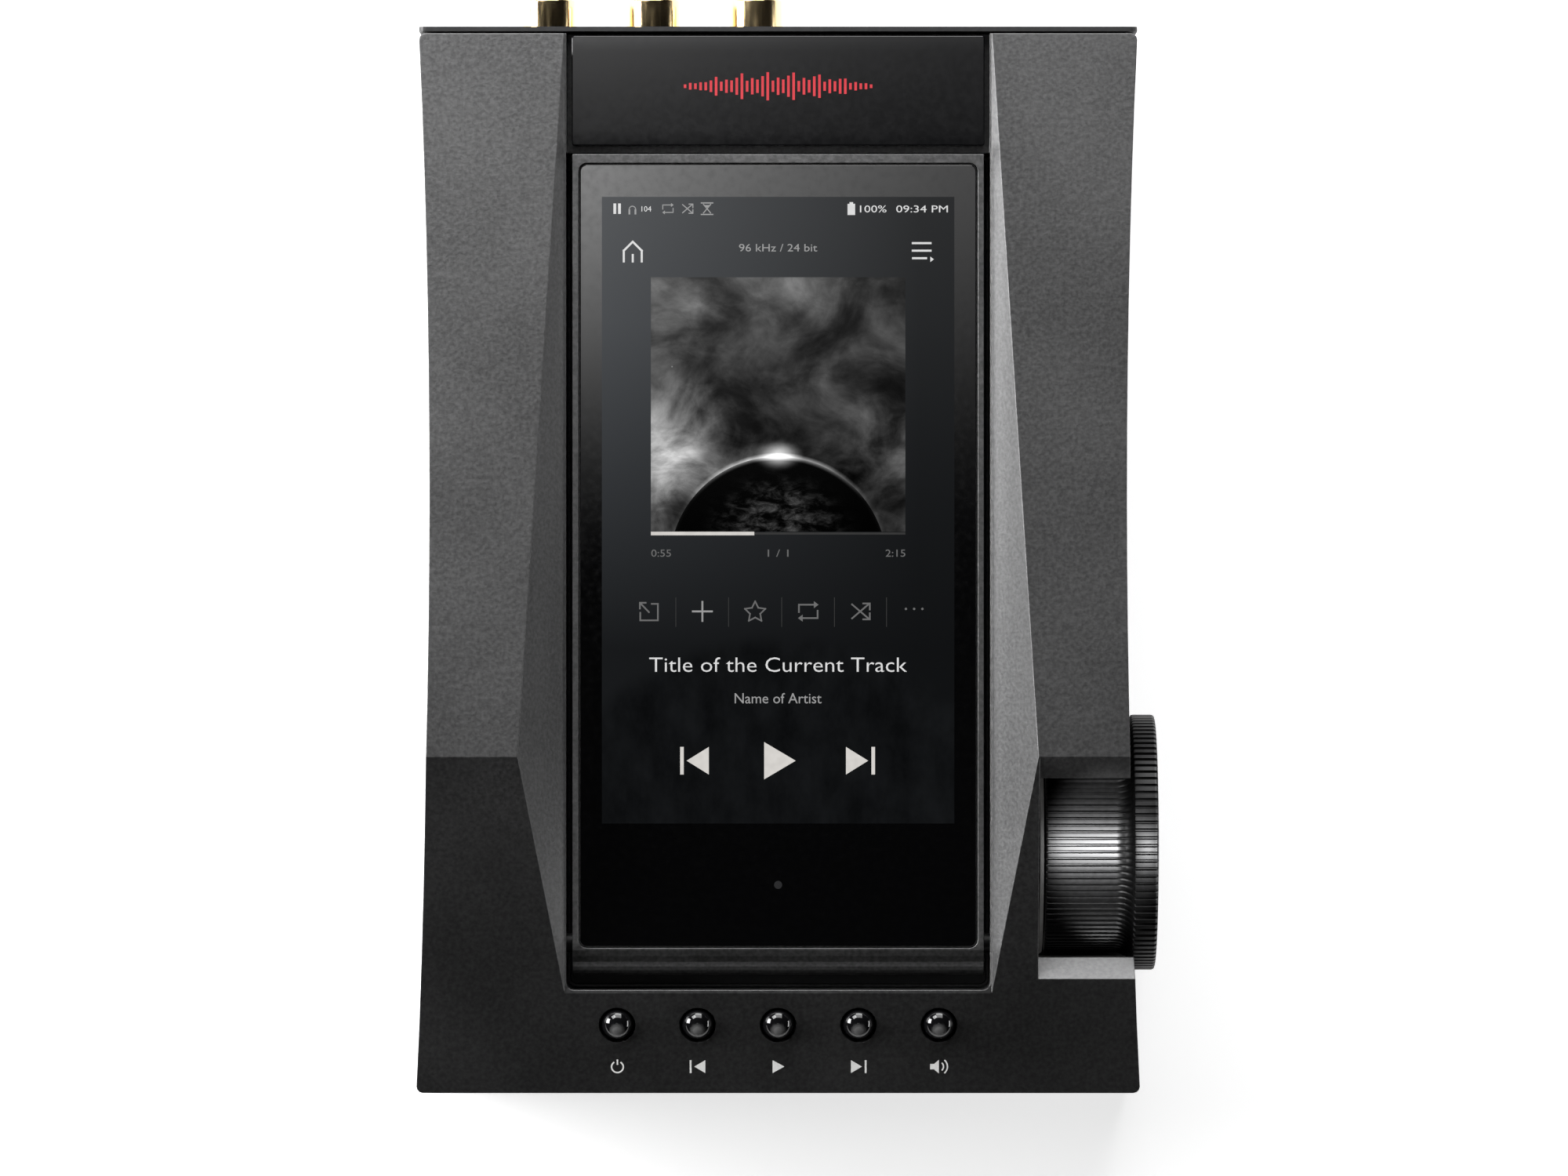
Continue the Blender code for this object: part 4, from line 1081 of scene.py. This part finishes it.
def interface():
    """What the display shows while it plays: status, cover, progress, actions, titles and transport keys."""
    half = PICTURE_WIDTH / 2
    left, right = -COVER_SIZE / 2, COVER_SIZE / 2
    bottom = COVER_TOP + COVER_SIZE
    uv_sheet("screen_backdrop", -half, half, 0, PICTURE_HEIGHT, 0.010, backdrop_material("screen_backdrop"))
    uv_sheet("cover_art", left, right, COVER_TOP, bottom, 0.018, album_material("cover_art"))
    bright, soft, dim, faint, warm = (Flat() for _ in range(5))

    row = -1.65
    bright.rect(-22.75, row, 0.38, 1.45).rect(-22.1, row, 0.38, 1.45)
    soft.arc(-20.3, row - 0.1, 0.45, 0.13, 0, 180, 10)
    soft.rect(-20.72, row - 0.45, 0.24, 0.7).rect(-19.88, row - 0.45, 0.24, 0.7)
    bright.text("104", -18.35, row, 0.78)
    repeat_icon(soft, -15.35, row, 0.72, 0.13)
    shuffle_icon(soft, -12.55, row, 0.75, 0.14)
    for side in (1, -1):
        soft.line([(-10.7, row + side * 0.8), (-9.1, row + side * 0.8)], 0.16)
        soft.line([(-9.9 - side * 0.5, row + 0.6), (-9.9 + side * 0.5, row - 0.6)], 0.14)
    soft.rect(-9.9, row + 0.35, 0.6, 0.3)
    bright.rect(10.2, row - 0.1, 1.05, 1.55).rect(10.2, row + 0.78, 0.5, 0.25)
    bright.text("100%", 13.25, row, 1.02, 3.7)
    bright.text("09:34 PM", 20.05, row, 1.02, 7.2)

    row = -7.6
    bright.line([(-21.5, row - 1.4), (-21.5, row + 0.1), (-20.25, row + 1.35), (-19.0, row + 0.1),
                 (-19.0, row - 1.4)], 0.28)
    bright.line([(-20.25, row - 1.4), (-20.25, row - 0.5)], 0.28)
    soft.text("96 kHz / 24 bit", 0, -7.05, 1.1, 10.9)
    for x, step, width in ((20.0, 1.15, 2.75), (20.0, 0.1, 2.75), (19.7, -0.95, 2.1)):
        bright.rect(x, row + step, width, 0.28)
    triangle(bright, 21.45, row - 1.1, 0.5, 0.75)

    row = -(bottom + 0.25)
    split = left + COVER_PLAYED
    warm.rect((left + split) / 2, row, split - left, 0.5)
    faint.rect((split + right) / 2, row, right - split, 0.3)
    row = -49.6
    for words, x, width in (("0:55", -16.3, 2.75), ("1 / 1", 0, 2.9), ("2:15", 16.35, 2.75)):
        dim.text(words, x, row, 1.05, width)

    row = -57.75
    dim.line([(-17.6, row + 1.05), (-16.75, row + 1.05), (-16.75, row - 1.25), (-19.2, row - 1.25),
              (-19.2, row - 0.2)], 0.22)
    dim.line([(-19.2, row + 1.15), (-18.0, row - 0.1)], 0.22)
    dim.line([(-19.25, row + 0.4), (-19.25, row + 1.2), (-18.45, row + 1.2)], 0.22)
    soft.rect(-10.55, row, 2.9, 0.25).rect(-10.55, row, 0.25, 2.9)
    star_icon(dim, -3.2, row - 0.1, 1.5, 0.2)
    repeat_icon(dim, 4.2, row, 1.3, 0.22)
    shuffle_icon(dim, 11.6, row, 1.3, 0.22)
    for step in (-1.15, 0, 1.15):
        dim.disc(18.95 + step, row + 0.35, 0.17, 12)
    for x in (-14.25, -6.9, 0.5, 7.85, 15.1):
        faint.rect(x, row - 0.1, 0.1, 4.1)

    bright.text("Title of the Current Track", 0, -65.1, 2.15, 35.9, -0.006)
    soft.text("Name of Artist", 0, -69.8, 1.5, 12.1)

    row = -78.55
    warm.rect(-13.4, row, 0.5, 3.85)
    triangle(warm, -11.2, row, 3.1, 3.85, -1)
    triangle(warm, 0.25, row, 4.4, 5.2)
    triangle(warm, 11.0, row, 3.1, 3.85)
    warm.rect(13.25, row, 0.5, 3.85)

    place = screen_place(0.026)
    for marks, name, tint, level in (
        (bright, "screen_bright", (1, 1, 1), UI_BRIGHT), (soft, "screen_soft", (1, 1, 1), UI_SOFT),
        (dim, "screen_dim", (1, 1, 1), UI_DIM), (faint, "screen_faint", (1, 1, 1), UI_FAINT),
        (warm, "screen_keys", (1.0, 0.965, 0.92), UI_KEYS),
    ):
        marks.made(name, place, glowing(name, tint, level), "cover_glass", "screen")
    dot = Flat().disc(0, -95.85, 0.56, 32)
    dot.made("home_dot", place, glowing("home_dot", (1, 1, 1.05), HOME_DOT), "cover_glass", "screen")


def plain_nodes():
    """A CAD node that nothing stands in for shows its slot's finish."""
    for node, obj in NODES.items():
        obj.data.materials.clear()
        obj.data.materials.append(FINISHES[SLOT_OF[node]])


# -------- studio

def world():
    """A dark studio with one soft glow high behind the camera, which the glass mirrors."""
    sky = bpy.data.worlds.new("studio")
    sky.use_nodes = True
    bpy.context.scene.world = sky
    made = Graph(sky.node_tree)
    x, y, z = made.split(made.where("Generated"))
    across = made.math("DIVIDE", x, z)
    along = made.math("DIVIDE", y, z)
    ramp = made.times(made.plus(along, GLOW_START), 1 / GLOW_LENGTH, clamp=True)
    rounded = made.minus(3.0, made.times(ramp, 2.0))
    ramp = made.math("POWER", made.times(made.times(ramp, ramp), rounded), GLOW_POWER)
    aside = made.times(made.plus(across, GLOW_SIDE), 1 / GLOW_WIDTH, clamp=True)
    fade = made.math("POWER", GLOW_FADE, aside)
    near = made.times(made.math("GREATER_THAN", z, GLOW_LOWEST), made.math("LESS_THAN", along, GLOW_END))
    glow = made.times(made.times(ramp, fade), made.times(near, GLOW_STRENGTH))
    seen = made.times(made.add("LightPath").outputs["Is Camera Ray"], BACKDROP)
    back = sky.node_tree.nodes["Background"]
    made.put(back.inputs["Strength"], made.math("MAXIMUM", made.plus(glow, WORLD_GREY), seen))
    made.put(back.inputs["Color"], (1, 1, 1, 1))


def studio():
    floor_mesh = bpy.data.meshes.new("floor")
    corners = [(x * FLOOR_HALF, y * FLOOR_HALF, 0) for x, y in ((-1, -1), (1, -1), (1, 1), (-1, 1))]
    floor_mesh.from_pydata(corners, [], [(0, 1, 2, 3)])
    floor = placed("floor", floor_mesh)
    floor.location = (0, 0, cad_low.z - 0.0001)
    white = Nodes("floor")
    white.set(Base_Color=(FLOOR_WHITE,) * 3, Roughness=0.9, Specular_IOR_Level=0.0)
    white.set(Emission_Color=(1, 1, 1), Emission_Strength=FLOOR_GLOW)
    floor_mesh.materials.append(white.material)
    for name, (place, aim, width, height, power) in LIGHTS.items():
        lamp = bpy.data.lights.new(name, "AREA")
        lamp.shape = "RECTANGLE"
        lamp.size = width
        lamp.size_y = height
        lamp.energy = power
        obj = placed(name, lamp)
        obj.location = place
        obj.rotation_mode = "QUATERNION"
        obj.rotation_quaternion = (Vector(aim) - Vector(place)).to_track_quat("-Z", "Y")
    wheel_spot()
    world()


def wheel_spot():
    """A snooted spot over the volume wheel. Its beam is an upright ellipse the size of the wheel."""
    aim = middle("volume_wheel")
    lamp = bpy.data.lights.new("wheel_spot", "SPOT")
    lamp.energy = SPOT_POWER
    lamp.shadow_soft_size = SPOT_RADIUS
    lamp.spot_size = math.radians(SPOT_ANGLE)
    lamp.spot_blend = SPOT_BLEND
    obj = placed("wheel_spot", lamp)
    obj.location = SPOT_PLACE
    obj.rotation_mode = "QUATERNION"
    back = (Vector(SPOT_PLACE) - aim).normalized()
    side = Vector((1, 0, 0))
    side = (side - back * side.dot(back)).normalized()
    obj.rotation_quaternion = Matrix((side, back.cross(side), back)).transposed().to_quaternion()
    obj.scale = (SPOT_WAIST, 1, 1)


def camera():
    lens = bpy.data.cameras.new("camera")
    lens.sensor_width = 36.0
    lens.lens = LENS
    lens.clip_start = 0.05
    lens.clip_end = 20.0
    obj = placed("camera", lens)
    obj.location = (VIEW_X * MM, VIEW_Y * MM, VIEW_HEIGHT)
    bpy.context.scene.camera = obj
    bpy.context.scene.view_settings.view_transform = "Standard"


housing()
crest()
button_marks()
feet()
screws()
phono_sockets()
phone_sockets()
volume_wheel()
wheel_seat()
buttons()
display()
interface()
plain_nodes()
studio()
camera()
